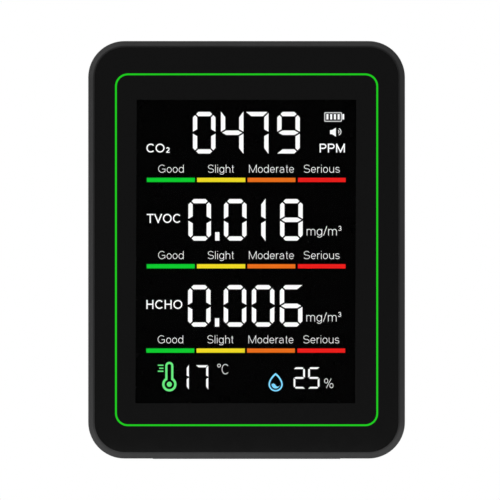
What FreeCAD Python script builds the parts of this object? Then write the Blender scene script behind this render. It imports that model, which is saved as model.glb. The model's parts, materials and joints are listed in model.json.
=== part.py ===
"""Desktop air quality monitor, built as the loose pieces it is put together from.

Millimetres. +X is to the right of somebody reading the screen, the screen faces -Y, +Z is up.
The shapes are modelled with the bottom of the housing at z = 0. Every piece is lifted by FOOT_PROUD
when it is written, so that the rubber feet stand on z = 0.
"""
import FreeCAD, Part

import math
import os

V = FreeCAD.Vector

# ---------------------------------------------------------------- driving dimensions
BODY_W = 88.0
BODY_H = 116.0
BODY_D = 32.0
CORNER_R = 10.1
WALL = 2.0
RIM_W = 1.45
RIM_INNER_R = 0.8
RIM_OUTER_R = 0.6
BACK_EDGE_R = 4.0
FOOT_PROUD = 0.1
GAP = 0.05

FRONT_Y = -BODY_D / 2
BACK_Y = BODY_D / 2
MID_Z = BODY_H / 2
SEAM_Y = FRONT_Y + 7.5
SEAM_GROOVE = 0.4
LIP_T = 0.95
LIP_L = 1.5

# face plates, light ring and their seat
PLATE_W = 84.3
PLATE_H = 112.3
PLATE_R = 8.25
PLATE_FRONT_Y = FRONT_Y + 0.1
PLATE_T = 1.6
SEAT_Y = PLATE_FRONT_Y + PLATE_T
SEAT_T = 2.0
INNER_Y = SEAT_Y + SEAT_T
RING_W = 72.6
RING_H = 97.5
RING_R = 3.3
RING_LINE = 0.4
RING_FLANGE = 2.5
RING_FLANGE_T = 1.0
POST = 2.4
POST_SIDE_Z = (40.0, 76.0)
POST_END_X = (-18.0, 18.0)

# display stack, front to back
SCREEN_W = 61.0
SCREEN_H = 84.2
SCREEN_Z = MID_Z - 0.5
GLASS_W = 66.0
GLASS_Z = (12.0, 103.0)
GLASS_T = 1.1
LIT_Z = (14.0, 102.5)
FOAM_T = 0.3
FILM_T = 0.2
GLASS_Y = SEAT_Y + FOAM_T
CELL_BACK_Y = GLASS_Y + 2 * GLASS_T
TRAY_T = 3.3
TRAY_WALL = 0.8
TRAY_FLOOR = 0.6
DIFFUSER_T = 0.4
LIGHT_PLATE_T = 2.0
REFLECTOR_T = 0.3
PIN_COUNT = 23
PIN_PITCH = 2.54
PIN_Z = 12.8

# main board
BOARD_W = 80.0
BOARD_Z = (6.0, 110.0)
BOARD_T = 1.6
BOARD_Y = CELL_BACK_Y + TRAY_T + 0.4
BOARD_BACK_Y = BOARD_Y + BOARD_T
BOARD_NOTCH = (9.5, 8.5)
BOARD_SCREW_X = 37.6
BOARD_SCREW_Z = (22.0, 58.0, 94.0)

# housing screws
BOSS_X = 36.0
BOSS_Z = (9.0, 107.0)
BOSS_R = 3.2
BOSS_TOP_Y = 1.0
TUBE_R = 4.2
HEAD_BORE_R = 2.9
HEAD_SEAT_Y = 3.5

# folding stand
HINGE_Y = 12.6
HINGE_Z = 70.5
BARREL_R = BACK_Y - HINGE_Y
LEG_W = 45.6
LEG_FOOT_Z = 5.4
LEG_INNER_Y = 12.4
POCKET_W = 46.4
POCKET_Z0 = 4.6
POCKET_Y = 12.0
POCKET_SKIN = 1.6
POCKET_CORNER_R = 3.4
PIN_R = 1.0
PIN_LENGTH = 54.0
PIN_BOSS_R = 3.3
PIN_BOSS_L = 4.0
STAND_OPEN_DEG = 28.0
TAB_W = 8.0
GRIP_L = 27.0
GRIP_W = 1.1
GRIP_DEPTH = 0.5
GRIP_PITCH = 2.4
GRIP_COUNT = 5

# buttons along the top edge
BUTTON_X = (-16.0, 0.0, 16.0)
BUTTON_NAMES = ("power", "mute", "unit")
BUTTON_Y = -4.75
BUTTON_L = 9.0
BUTTON_D = 4.0
BUTTON_TRAVEL = 0.5
BUTTON_SINK = 0.1

# charging socket on the right edge of the board
USB_Z = 30.0
USB_W = 8.94
USB_H = 3.2
USB_L = 7.3
USB_SHEET = 0.3
USB_MOUTH_X = 43.0
USB_Y = BOARD_BACK_Y + USB_H / 2

# things on the back of the board
CELL_X = (-31.0, 3.0)
CELL_Z = (18.0, 68.0)
CELL_T = 8.0
CELL_TAPE_T = 0.4
CO2_X = (-34.0, -1.0)
CO2_Z = (80.0, 102.0)
CO2_BOARD_Y = -4.0
HCHO_XZ = (19.0, 91.0)
BUZZER_XZ = (31.0, 52.0)
BUZZER_R = 6.0
SEAL_Z = (78.0, 79.6)

# openings for air
VENT_W = 1.7
VENT_PITCH = 3.2
REAR_VENT_L = 15.0
REAR_VENT_X = (-17.0, 0.0, 17.0)
REAR_VENT_Z0 = 83.0
REAR_VENT_ROWS = 8
SIDE_VENT_L = 12.0
SIDE_VENT_Y = 4.0
SIDE_VENT_Z0 = 72.0
SIDE_VENT_ROWS = 9
FILTER_T = 0.5


# ---------------------------------------------------------------- shape helpers
def box(x, y, z):
    """A box from three (low, high) pairs."""
    return Part.makeBox(x[1] - x[0], y[1] - y[0], z[1] - z[0], V(x[0], y[0], z[0]))


def cyl_x(x, y, z, r):
    return Part.makeCylinder(r, x[1] - x[0], V(x[0], y, z), V(1, 0, 0))


def cyl_y(x, y, z, r):
    return Part.makeCylinder(r, y[1] - y[0], V(x, y[0], z), V(0, 1, 0))


def about(middle, size):
    """The (low, high) pair of a length centred on middle."""
    return (middle - size / 2, middle + size / 2)


def round_rect_face(w, h, r):
    """A face in the XY plane, centred on the origin, with corners of radius r."""
    a = w / 2
    b = h / 2
    k = r * math.sqrt(0.5)
    edges = []
    for turn in range(4):
        length, height = (a, b) if turn % 2 == 0 else (b, a)
        start = V(length, -height + r, 0)
        end = V(length, height - r, 0)
        middle = V(length - r + k, height - r + k, 0)
        tip = V(length - r, height, 0)
        spin = FreeCAD.Rotation(V(0, 0, 1), 90 * turn)
        start, end, middle, tip = (spin.multVec(p) for p in (start, end, middle, tip))
        if (end - start).Length > 1e-6:
            edges.append(Part.LineSegment(start, end).toShape())
        edges.append(Part.Arc(end, middle, tip).toShape())
    return Part.Face(Part.Wire(edges))


def slab(w, h, r, y, x=0.0, z=MID_Z):
    """A round-cornered plate w wide and h high that runs from y[0] to y[1]."""
    face = round_rect_face(w, h, r)
    face.rotate(V(0, 0, 0), V(1, 0, 0), 90)
    face.translate(V(x, y[0], z))
    return face.extrude(V(0, y[1] - y[0], 0))


def slab_up(w, d, r, z, x=0.0, y=0.0):
    """A round-cornered plate w wide and d deep that runs from z[0] to z[1]."""
    face = round_rect_face(w, d, r)
    face.translate(V(x, y, z[0]))
    return face.extrude(V(0, 0, z[1] - z[0]))


def slab_side(d, h, r, x, y=0.0, z=0.0):
    """A round-cornered plate d deep and h high that runs from x[0] to x[1]."""
    face = round_rect_face(h, d, r)
    face.rotate(V(0, 0, 0), V(0, 1, 0), -90)
    face.translate(V(x[0], y, z))
    return face.extrude(V(x[1] - x[0], 0, 0))


def frame(outer, inner, y, z=MID_Z):
    """A round-cornered frame. outer and inner are (width, height, corner radius)."""
    return slab(*outer, y, 0.0, z).cut(slab(*inner, y, 0.0, z))


def fuse(shapes):
    """One shape out of many."""
    first, rest = shapes[0], shapes[1:]
    return first.multiFuse(rest).removeSplitter() if rest else first


def cut(shape, tools):
    return shape.cut(Part.makeCompound(tools)) if tools else shape


def group(shapes):
    """Separate solids that share one node."""
    return Part.makeCompound(shapes)


def round_edges(shape, radius, chosen):
    """Rounds the edges whose box passes the test chosen(box)."""
    edges = [e for e in shape.Edges if chosen(e.BoundBox)]
    return shape.makeFillet(radius, edges)


def flat_in_y(y):
    return lambda b: abs(b.YMin - y) < 1e-4 and abs(b.YMax - y) < 1e-4


def flat_in_z(z):
    return lambda b: abs(b.ZMin - z) < 1e-4 and abs(b.ZMax - z) < 1e-4


def upright(b):
    return b.ZMax - b.ZMin > 20


def tube(points, diameter):
    """A round wire along straight runs joined by tangent arcs."""
    points = [V(*p) for p in points]
    edges = []
    radii = []
    here = points[0]
    for before, corner, after in zip(points, points[1:], points[2:]):
        towards = (corner - before).normalize()
        away = (after - corner).normalize()
        half_turn = towards.getAngle(away) / 2
        back = 0.45 * min((corner - before).Length, (after - corner).Length)
        radii.append(back / math.tan(half_turn))
        start = corner - towards * back
        end = corner + away * back
        to_centre = (away - towards).normalize()
        centre = corner + to_centre * (radii[-1] / math.cos(half_turn))
        edges.append(Part.LineSegment(here, start).toShape())
        edges.append(Part.Arc(start, centre - to_centre * radii[-1], end).toShape())
        here = end
    edges.append(Part.LineSegment(here, points[-1]).toShape())
    path = Part.Wire(edges)
    ring = Part.Circle(points[0], points[1] - points[0], diameter / 2).toShape()
    solid = path.makePipeShell([Part.Wire([ring])], True, False)
    assert min(radii) > diameter
    return solid


def screw(head_r, head_h, shank_r, length, slot):
    """A pan-head cross-recess screw, head seat at the origin, shank along -Y."""
    head = cyl_y(0, (0, head_h), 0, head_r)
    head = round_edges(head, head_h * 0.4, flat_in_y(head_h))
    shank = cyl_y(0, (-length, 0), 0, shank_r)
    tip = shank.makeChamfer(shank_r * 0.4, [e for e in shank.Edges if flat_in_y(-length)(e.BoundBox)])
    depth = (head_h * 0.35, head_h + 1)
    recess = [
        box(about(0, slot), depth, about(0, slot * 3.4)),
        box(about(0, slot * 3.4), depth, about(0, slot)),
    ]
    return cut(head.fuse(tip), recess)


# ---------------------------------------------------------------- places that several pieces share
def corner_places():
    return [(sx * BOSS_X, z) for sx in (-1, 1) for z in BOSS_Z]


def board_screw_places():
    return [(sx * BOARD_SCREW_X, z) for sx in (-1, 1) for z in BOARD_SCREW_Z]


def light_post_places():
    sides = [(sx * RING_W / 2, z) for sx in (-1, 1) for z in POST_SIDE_Z]
    ends = [(x, MID_Z + sz * RING_H / 2) for sz in (-1, 1) for x in POST_END_X]
    return sides + ends


def display_pin_places():
    first = -PIN_PITCH * (PIN_COUNT - 1) / 2
    return [first + PIN_PITCH * i for i in range(PIN_COUNT)]


def co2_pin_places():
    columns = (CO2_X[0] + 2.0, CO2_X[1] - 2.0)
    rows = [CO2_Z[0] + 7.2 + 2.54 * i for i in range(4)]
    return [(x, z) for x in columns for z in rows]


def ring_places(centre, radius, count):
    """Evenly spaced (x, z) places on a circle, the first one straight above the centre."""
    angles = [math.radians(90 + 360 * i / count) for i in range(count)]
    return [(centre[0] + radius * math.cos(a), centre[1] + radius * math.sin(a)) for a in angles]


def hcho_pin_places():
    return ring_places(HCHO_XZ, 6.5, 3)


# ---------------------------------------------------------------- front shell and face
def front_housing():
    shell = slab(BODY_W, BODY_H, CORNER_R, (FRONT_Y, SEAM_Y))
    shell = shell.makeChamfer(RIM_W, [e for e in shell.Edges if flat_in_y(FRONT_Y)(e.BoundBox)])
    shell = round_edges(shell, RIM_INNER_R, flat_in_y(FRONT_Y))
    shell = round_edges(shell, RIM_OUTER_R, flat_in_y(FRONT_Y + RIM_W))
    inner = (BODY_W - 2 * WALL, BODY_H - 2 * WALL, CORNER_R - WALL)
    relief = 2 * (LIP_T + 0.1)
    tools = [
        slab(PLATE_W + 0.1, PLATE_H + 0.1, PLATE_R + 0.05, (FRONT_Y - 1, SEAT_Y)),
        slab(*inner, (INNER_Y, SEAM_Y + 1)),
        slab(inner[0] + relief, inner[1] + relief, inner[2] + relief / 2, (SEAM_Y - LIP_L - 0.1, SEAM_Y + 1)),
        box(about(0, GLASS_W + 1), (SEAT_Y - 1, INNER_Y + 1), (GLASS_Z[0] - 0.5, GLASS_Z[1] + 0.5)),
        ring_frame(RING_FLANGE + 0.1, (SEAT_Y - 1, SEAT_Y + RING_FLANGE_T + GAP)),
        box(about(0, 52.4), (FRONT_Y + 2.1, FRONT_Y + 5.4), (-1.0, 0.8)),
    ]
    hole = POST + 0.4
    tools += [box(about(x, hole), (SEAT_Y, INNER_Y + 1), about(z, hole)) for x, z in light_post_places()]
    shell = cut(shell, tools)
    bosses = [cyl_y(x, (INNER_Y - 0.5, BOSS_TOP_Y), z, BOSS_R) for x, z in corner_places()]
    bosses += [cyl_y(x, (INNER_Y - 0.5, BOARD_Y), z, 2.5) for x, z in board_screw_places()]
    bosses += [stiffener(x, z) for x, z in corner_places()]
    holes = [cyl_y(x, (BOSS_TOP_Y - 9.0, BOSS_TOP_Y + 1), z, 1.3) for x, z in corner_places()]
    holes += [cyl_y(x, (INNER_Y + 0.4, BOARD_Y + 1), z, 0.85) for x, z in board_screw_places()]
    return cut(fuse([shell] + bosses), holes)


def stiffener(x, z):
    """A rib from a corner boss to the end wall beside it."""
    end = 1.0 if z < MID_Z else BODY_H - 1.0
    return box(about(x, 1.2), (INNER_Y - 0.5, SEAM_Y - LIP_L - 0.1), (min(z, end), max(z, end)))


def ring_frame(line, y):
    """A frame of the given line width that follows the light ring."""
    outer = (RING_W + line, RING_H + line, RING_R + line / 2)
    inner = (RING_W - line, RING_H - line, RING_R - line / 2)
    return frame(outer, inner, y)


def bezel_plate():
    opening = RING_LINE + 2 * GAP
    inner = (RING_W + opening, RING_H + opening, RING_R + opening / 2)
    return frame((PLATE_W, PLATE_H, PLATE_R), inner, (PLATE_FRONT_Y, SEAT_Y))


def display_window():
    edge = RING_LINE + 2 * GAP
    return slab(RING_W - edge, RING_H - edge, RING_R - edge / 2, (PLATE_FRONT_Y, SEAT_Y))


def status_light_ring():
    line = ring_frame(RING_LINE, (PLATE_FRONT_Y, SEAT_Y + 0.2))
    flange = ring_frame(RING_FLANGE, (SEAT_Y, SEAT_Y + RING_FLANGE_T))
    reach = (SEAT_Y + RING_FLANGE_T - 0.2, BOARD_Y - 0.7)
    posts = [box(about(x, POST), reach, about(z, POST)) for x, z in light_post_places()]
    return fuse([line, flange] + posts)


def front_foot_strip():
    return box(about(0, 52.0), (FRONT_Y + 2.3, FRONT_Y + 5.2), (-FOOT_PROUD, 0.8))


# ---------------------------------------------------------------- display
def display_gasket():
    y = (SEAT_Y, SEAT_Y + FOAM_T)
    outer = box(about(0, GLASS_W), y, GLASS_Z)
    hole = box(about(0, SCREEN_W + 2.6), y, about(SCREEN_Z, SCREEN_H + 2.6))
    return outer.cut(hole)


def display_film():
    return box(about(0, SCREEN_W + 2.0), (GLASS_Y - FILM_T, GLASS_Y), about(SCREEN_Z, SCREEN_H + 2.0))


def display_front_glass():
    return box(about(0, GLASS_W), (GLASS_Y, GLASS_Y + GLASS_T), GLASS_Z)


def display_rear_glass():
    return box(about(0, GLASS_W), (GLASS_Y + GLASS_T, CELL_BACK_Y), LIT_Z)


def display_pins():
    y = (GLASS_Y + GLASS_T, BOARD_BACK_Y + 0.6)
    return group([box(about(x, 0.5), y, about(PIN_Z, 0.3)) for x in display_pin_places()])


def tray_inside():
    """The width and the z range inside the backlight tray."""
    return GLASS_W - 2 * TRAY_WALL, (LIT_Z[0] + TRAY_WALL, LIT_Z[1] - TRAY_WALL)


def backlight_tray():
    width, z = tray_inside()
    back = CELL_BACK_Y + TRAY_T
    outer = box(about(0, GLASS_W), (CELL_BACK_Y, back), LIT_Z)
    return outer.cut(box(about(0, width), (CELL_BACK_Y, back - TRAY_FLOOR), z))


def backlight_sheet(thickness, front, foot=0.0):
    """One of the sheets stacked in the tray. foot leaves room for the lamps below it."""
    width, z = tray_inside()
    return box(about(0, width - 0.2), (front, front + thickness), (z[0] + 0.1 + foot, z[1] - 0.1))


def backlight_lamps():
    width, z = tray_inside()
    y = (CELL_BACK_Y + DIFFUSER_T + 0.1, CELL_BACK_Y + DIFFUSER_T + LIGHT_PLATE_T)
    strip = box(about(0, width - 1.0), y, (z[0] + 0.1, z[0] + 0.7))
    lamps = [box(about(x, 3.0), y, (z[0] + 0.7, z[0] + 1.4)) for x in range(-27, 28, 9)]
    return group([strip] + lamps)


# ---------------------------------------------------------------- main board and what is on it
def main_board():
    y = (BOARD_Y, BOARD_BACK_Y)
    board = box(about(0, BOARD_W), y, BOARD_Z)
    notch_x, notch_z = BOARD_NOTCH
    tools = []
    for side in (-1, 1):
        x = sorted((side * BOARD_W / 2, side * (BOARD_W / 2 - notch_x)))
        tools.append(box(x, y, (BOARD_Z[0], BOARD_Z[0] + notch_z)))
        tools.append(box(x, y, (BOARD_Z[1] - notch_z, BOARD_Z[1])))
    tools += [cyl_y(x, y, z, 1.1) for x, z in board_screw_places()]
    tools += [cyl_y(x, y, PIN_Z, 0.45) for x in display_pin_places()]
    tools += [cyl_y(x, y, z, 0.5) for x, z in co2_pin_places() + hcho_pin_places()]
    return cut(board, tools)


def board_screws():
    one = screw(1.8, 1.3, 0.8, 5.0, 0.5)
    return group([one.translated(V(x, BOARD_BACK_Y, z)) for x, z in board_screw_places()])


def status_lamps():
    y = (BOARD_Y - 0.6, BOARD_Y)
    return group([box(about(x, 2.0), y, about(z, 1.6)) for x, z in light_post_places()])


def circuit_chips():
    """Controller, display drivers, charger and memory, each as (x, z, width, height, thickness)."""
    places = [
        (16.0, 62.0, 10.0, 10.0, 1.4),
        (14.0, 40.0, 7.0, 7.0, 0.9),
        (26.0, 66.0, 5.0, 6.2, 1.5),
        (27.0, 38.0, 4.0, 4.0, 0.9),
        (8.0, 73.0, 3.0, 3.0, 0.9),
    ]
    front = BOARD_BACK_Y
    return group([box(about(x, w), (front, front + t), about(z, h)) for x, z, w, h, t in places])


def circuit_passives():
    """Rows of small resistors and capacitors, a coil and two can capacitors."""
    small = []
    for column in range(4):
        for row in range(3):
            x = 9.0 + 4.4 * column
            z = 48.0 + 2.6 * row
            small.append(box(about(x, 2.0), (BOARD_BACK_Y, BOARD_BACK_Y + 0.8), about(z, 1.2)))
    coil = slab(6.0, 6.0, 1.2, (BOARD_BACK_Y, BOARD_BACK_Y + 3.0), 26.0, 30.0)
    cans = [cyl_y(x, (BOARD_BACK_Y, BOARD_BACK_Y + 5.4), 72.0, 2.5) for x in (18.0, 35.0)]
    return group(small + [coil] + cans)


def buzzer():
    x, z = BUZZER_XZ
    can = cyl_y(x, (BOARD_BACK_Y, BOARD_BACK_Y + 7.0), z, BUZZER_R)
    can = round_edges(can, 0.5, flat_in_y(BOARD_BACK_Y + 7.0))
    return can.cut(cyl_y(x, (BOARD_BACK_Y + 5.5, BOARD_BACK_Y + 8.0), z, 1.2))


def tact_switches():
    bodies = []
    for x in BUTTON_X:
        body = box(about(x, 6.0), (BOARD_BACK_Y, BOARD_BACK_Y + 3.5), (BOARD_Z[1] - 3.6, BOARD_Z[1]))
        well = box(about(x, 3.0), about(BUTTON_Y, 1.4), (BOARD_Z[1] - 1.6, BOARD_Z[1] + 1))
        bodies.append(body.cut(well))
    return group(bodies)


def usb_socket_shell():
    x = (USB_MOUTH_X - USB_L, USB_MOUTH_X)
    outer = slab_side(USB_H, USB_W, 1.3, x, USB_Y, USB_Z)
    inner_size = (USB_H - 2 * USB_SHEET, USB_W - 2 * USB_SHEET)
    inner = slab_side(*inner_size, 1.0, (x[0] + USB_SHEET, x[1] + 1), USB_Y, USB_Z)
    return outer.cut(inner)


def usb_socket_core():
    back_x = USB_MOUTH_X - USB_L + USB_SHEET
    inner_size = (USB_H - 2 * USB_SHEET - 0.02, USB_W - 2 * USB_SHEET - 0.02)
    base = slab_side(*inner_size, 0.98, (back_x + 0.01, back_x + 1.3), USB_Y, USB_Z)
    tongue = slab_side(0.7, 6.6, 0.25, (back_x + 1.0, USB_MOUTH_X - 0.8), USB_Y, USB_Z)
    return base.fuse(tongue)


# ---------------------------------------------------------------- battery
def battery_cell():
    y = (BOARD_BACK_Y + CELL_TAPE_T, BOARD_BACK_Y + CELL_TAPE_T + CELL_T)
    cell = box(CELL_X, y, CELL_Z)
    return round_edges(cell, 1.8, upright)


def battery_tape():
    y = (BOARD_BACK_Y, BOARD_BACK_Y + CELL_TAPE_T)
    return box((CELL_X[0] + 3, CELL_X[1] - 3), y, (CELL_Z[0] + 3, CELL_Z[1] - 3))


def battery_socket():
    y = (BOARD_BACK_Y, BOARD_BACK_Y + 4.6)
    outer = box((14.0, 20.0), y, (18.0, 26.0))
    return outer.cut(box((13.0, 18.8), (y[0] + 0.8, y[1] - 0.8), (18.8, 25.2)))


def battery_plug():
    y = (BOARD_BACK_Y + 0.9, BOARD_BACK_Y + 3.7)
    return box((11.5, 18.7), y, (18.9, 25.1))


def battery_lead(z_plug, z_cell):
    """A lead from the cell's side to the back of the plug."""
    y_plug = BOARD_BACK_Y + 2.3
    y_cell = BOARD_BACK_Y + CELL_TAPE_T + CELL_T / 2
    points = [
        (CELL_X[1], y_cell, z_cell),
        (CELL_X[1] + 3.0, y_cell, z_cell),
        (CELL_X[1] + 5.5, y_plug, z_plug),
        (11.5, y_plug, z_plug),
    ]
    return tube(points, 1.1)


# ---------------------------------------------------------------- sensors
def co2_sensor_board():
    board = box(CO2_X, (CO2_BOARD_Y, CO2_BOARD_Y + 1.2), CO2_Z)
    return cut(board, [cyl_y(x, (CO2_BOARD_Y, CO2_BOARD_Y + 1.2), z, 0.45) for x, z in co2_pin_places()])


def co2_windows(grow=0.0):
    middle_z = sum(CO2_Z) / 2
    return [(x, middle_z, 8.0 + grow, 12.0 + grow) for x in (CO2_X[0] + 11.0, CO2_X[1] - 11.0)]


def co2_sensor_body():
    y = (CO2_BOARD_Y + 1.2, CO2_BOARD_Y + 12.5)
    middle = (sum(CO2_X) / 2, sum(CO2_Z) / 2)
    body = slab(25.0, 19.0, 2.0, y, *middle)
    body = round_edges(body, 0.8, flat_in_y(y[1]))
    return cut(body, [slab(w, h, 1.5, (y[1] - 0.8, y[1] + 1), x, z) for x, z, w, h in co2_windows(0.1)])


def co2_sensor_filter():
    y = (CO2_BOARD_Y + 11.7, CO2_BOARD_Y + 12.2)
    return group([slab(w, h, 1.45, y, x, z) for x, z, w, h in co2_windows()])


def co2_sensor_pins():
    y = (BOARD_Y - 0.2, CO2_BOARD_Y + 1.6)
    return group([cyl_y(x, y, z, 0.35) for x, z in co2_pin_places()])


def hcho_sensor_can():
    x, z = HCHO_XZ
    front = BOARD_BACK_Y + 1.4
    can = cyl_y(x, (front, front + 6.0), z, 9.5)
    return can.cut(cyl_y(x, (front + 4.6, front + 7.0), z, 7.55))


def hcho_sensor_cap():
    x, z = HCHO_XZ
    front = BOARD_BACK_Y + 6.0
    cap = round_edges(cyl_y(x, (front, front + 1.6), z, 7.5), 0.4, flat_in_y(front + 1.6))
    through = (front - 1, front + 3)
    holes = [cyl_y(x, through, z, 1.3)]
    holes += [cyl_y(hole_x, through, hole_z, 0.9) for hole_x, hole_z in ring_places(HCHO_XZ, 4.2, 6)]
    return cut(cap, holes)


def hcho_sensor_pins():
    y = (BOARD_Y - 0.2, BOARD_BACK_Y + 1.4)
    return group([cyl_y(x, y, z, 0.4) for x, z in hcho_pin_places()])


def climate_sensor_board():
    """The temperature and humidity sensor stands on edge beside the left vents."""
    board = box((-39.2, -38.2), (BOARD_BACK_Y, BOARD_BACK_Y + 14.0), (81.5, 91.5))
    return board.cut(cyl_x((-40, -38), BOARD_BACK_Y + 3.0, 86.5, 0.6))


def climate_sensor_chip():
    return box((-40.1, -39.2), (BOARD_BACK_Y + 8.5, BOARD_BACK_Y + 11.5), (85.0, 88.0))


def chamber_seal():
    """Foam wall that keeps warm air from the battery and board away from the sensors."""
    return box(about(0, 79.8), (BOARD_BACK_Y, BACK_Y - WALL), SEAL_Z)


# ---------------------------------------------------------------- buttons
def button_cap(x):
    top = BODY_H - BUTTON_SINK
    stem_foot = BOARD_Z[1] + 1.2
    flange_top = BODY_H - WALL - 0.1
    cap = slab_up(BUTTON_L, BUTTON_D, BUTTON_D / 2 - 0.01, (flange_top - 0.4, top), x, BUTTON_Y)
    cap = round_edges(cap, 0.3, flat_in_z(top))
    flange = box(about(x, BUTTON_L + 2.0), about(BUTTON_Y, BUTTON_D + 1.2), (flange_top - 0.8, flange_top))
    stem = box(about(x, 2.8), about(BUTTON_Y, 1.2), (stem_foot, flange_top - 0.6))
    return fuse([cap, flange, stem])


def switch_plunger(x):
    return box(about(x, 2.8), about(BUTTON_Y, 1.2), (BOARD_Z[1] - 0.8, BOARD_Z[1] + 1.2))


# ---------------------------------------------------------------- rear cover
def rear_cover():
    outer = slab(BODY_W, BODY_H, CORNER_R, (SEAM_Y, BACK_Y))
    outer = round_edges(outer, BACK_EDGE_R, flat_in_y(BACK_Y))
    inner = (BODY_W - 2 * WALL, BODY_H - 2 * WALL, CORNER_R - WALL)
    hollow = slab(*inner, (SEAM_Y, BACK_Y - WALL))
    hollow = round_edges(hollow, BACK_EDGE_R - WALL, flat_in_y(BACK_Y - WALL))
    groove_y = (SEAM_Y, SEAM_Y + SEAM_GROOVE)
    groove = frame(
        (BODY_W + 1, BODY_H + 1, CORNER_R + 0.5),
        (BODY_W - 2 * SEAM_GROOVE, BODY_H - 2 * SEAM_GROOVE, CORNER_R - SEAM_GROOVE),
        groove_y,
    )
    shell = outer.cut(hollow).cut(groove)
    lip_size = (inner[0] + 2 * LIP_T, inner[1] + 2 * LIP_T, inner[2] + LIP_T)
    lip = frame(lip_size, inner, (SEAM_Y - LIP_L, SEAM_Y))
    inside = [cyl_y(x, (BOSS_TOP_Y, BACK_Y - 1), z, TUBE_R) for x, z in corner_places()]
    inside += pocket_walls()
    additions = fuse(inside).common(outer)
    shell = fuse([shell, lip, additions])
    tools = screw_bores() + pocket_tools() + rear_vents() + side_vents() + wall_openings()
    return cut(shell, tools)


def pocket_walls():
    """The inward side of the pocket that the stand folds into, its hinge bosses and its stop block."""
    side = POCKET_W + 2 * POCKET_SKIN
    deep_y = HINGE_Y - BARREL_R - 0.3 - POCKET_SKIN
    deep_z = (HINGE_Z - BARREL_R - 2.0, HINGE_Z + BARREL_R + 0.3 + POCKET_SKIN)
    stop_y = HINGE_Y - 7.4
    walls = [
        box(about(0, side), (POCKET_Y - POCKET_SKIN, BACK_Y - 1), (WALL - 0.5, deep_z[1])),
        box(about(0, side), (deep_y, BACK_Y - 1), deep_z),
        box(about(0, TAB_W + 4.0), (stop_y, POCKET_Y), (HINGE_Z - 3.4, SEAL_Z[0] - 0.3)),
    ]
    for sign in (-1, 1):
        x = sorted((sign * POCKET_W / 2, sign * (POCKET_W / 2 + PIN_BOSS_L)))
        walls.append(cyl_x(x, HINGE_Y, HINGE_Z, PIN_BOSS_R))
    walls += [scoop(sign, POCKET_SKIN) for sign in (-1, 1)]
    return walls


def scoop(sign, grow=0.0):
    """A finger scoop beside the leg. grow makes its outside instead of the hollow."""
    depth_y = BACK_Y - 5.4 - grow
    reach = 7.4 + grow
    inner_x = POCKET_W / 2 - 2.0
    x = sorted((sign * inner_x, sign * (POCKET_W / 2 + reach)))
    middle = sum(x) / 2
    width = x[1] - x[0]
    body = slab(width, 15.0 + 2 * grow, 3.0 + grow, (depth_y, BACK_Y + 1 - 2 * (grow > 0)), middle, 21.0)
    return body


def pocket_tools():
    """Everything that is hollowed out of the rear face for the stand."""
    top = HINGE_Z
    plain = slab(
        POCKET_W, top - POCKET_Z0 + 2 * POCKET_CORNER_R, POCKET_CORNER_R,
        (POCKET_Y, BACK_Y + 1), 0.0, (top + POCKET_Z0) / 2 + POCKET_CORNER_R,
    )
    plain = plain.common(box(about(0, POCKET_W), (POCKET_Y, BACK_Y + 1), (POCKET_Z0, top)))
    barrel_room = cyl_x(about(0, POCKET_W), HINGE_Y, HINGE_Z, BARREL_R + 0.3)
    mouth = box(about(0, POCKET_W), (HINGE_Y, BACK_Y + 1), (HINGE_Z - 1, HINGE_Z + BARREL_R + 0.3))
    pin_bore = cyl_x(about(0, PIN_LENGTH + 2), HINGE_Y, HINGE_Z, PIN_R + 0.02)
    cap_room = box(about(0, TAB_W + 0.6), (HINGE_Y - 0.5, HINGE_Y + 0.6), (HINGE_Z, HINGE_Z + 5.5))
    return [plain, barrel_room, mouth, pin_bore, cap_room, stop_sweep()] + [scoop(s) for s in (-1, 1)]


def tab_profile(grow=0.0):
    """The stop tab's outline in the YZ plane, in (y, z) from the hinge axis."""
    return (-2.9 - grow, -0.9 + grow), (2.0 - grow, 5.0 + grow)


def stop_sweep():
    """The room that the stop tab needs as the stand opens, ending where it meets the cover."""
    y, z = tab_profile(0.25)
    x = about(0, TAB_W + 0.6)
    corners = [
        V(x[0], HINGE_Y + y[0] + 0.25, HINGE_Z + z[0]),
        V(x[0], HINGE_Y + y[1], HINGE_Z + z[0]),
        V(x[0], HINGE_Y + y[1], HINGE_Z + z[1]),
        V(x[0], HINGE_Y + y[0] + 0.25, HINGE_Z + z[1]),
    ]
    outline = Part.Face(Part.makePolygon(corners + corners[:1]))
    steps = 14
    solid = outline.extrude(V(x[1] - x[0], 0, 0))
    past = 0.6
    turned = []
    for i in range(steps + 1):
        copy = solid.copy()
        copy.rotate(V(0, HINGE_Y, HINGE_Z), V(1, 0, 0), (STAND_OPEN_DEG + past) * i / steps)
        turned.append(copy)
    return fuse(turned)


def screw_bores():
    bores = []
    for x, z in corner_places():
        bores.append(cyl_y(x, (HEAD_SEAT_Y, BACK_Y + 1), z, HEAD_BORE_R))
        bores.append(cyl_y(x, (BOSS_TOP_Y - 1, HEAD_SEAT_Y), z, 1.5))
    return bores


def rear_vents():
    slots = []
    for x in REAR_VENT_X:
        for row in range(REAR_VENT_ROWS):
            z = REAR_VENT_Z0 + VENT_PITCH * row
            slots.append(slab(REAR_VENT_L, VENT_W, VENT_W / 2 - 0.01, (BACK_Y - WALL - 1, BACK_Y + 1), x, z))
    return slots


def side_vents():
    slots = []
    for sign in (-1, 1):
        x = sorted((sign * (BODY_W / 2 - WALL - 1), sign * (BODY_W / 2 + 1)))
        for row in range(SIDE_VENT_ROWS):
            z = SIDE_VENT_Z0 + VENT_PITCH * row
            slots.append(slab_side(SIDE_VENT_L, VENT_W, VENT_W / 2 - 0.01, x, SIDE_VENT_Y, z))
    return slots


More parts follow.
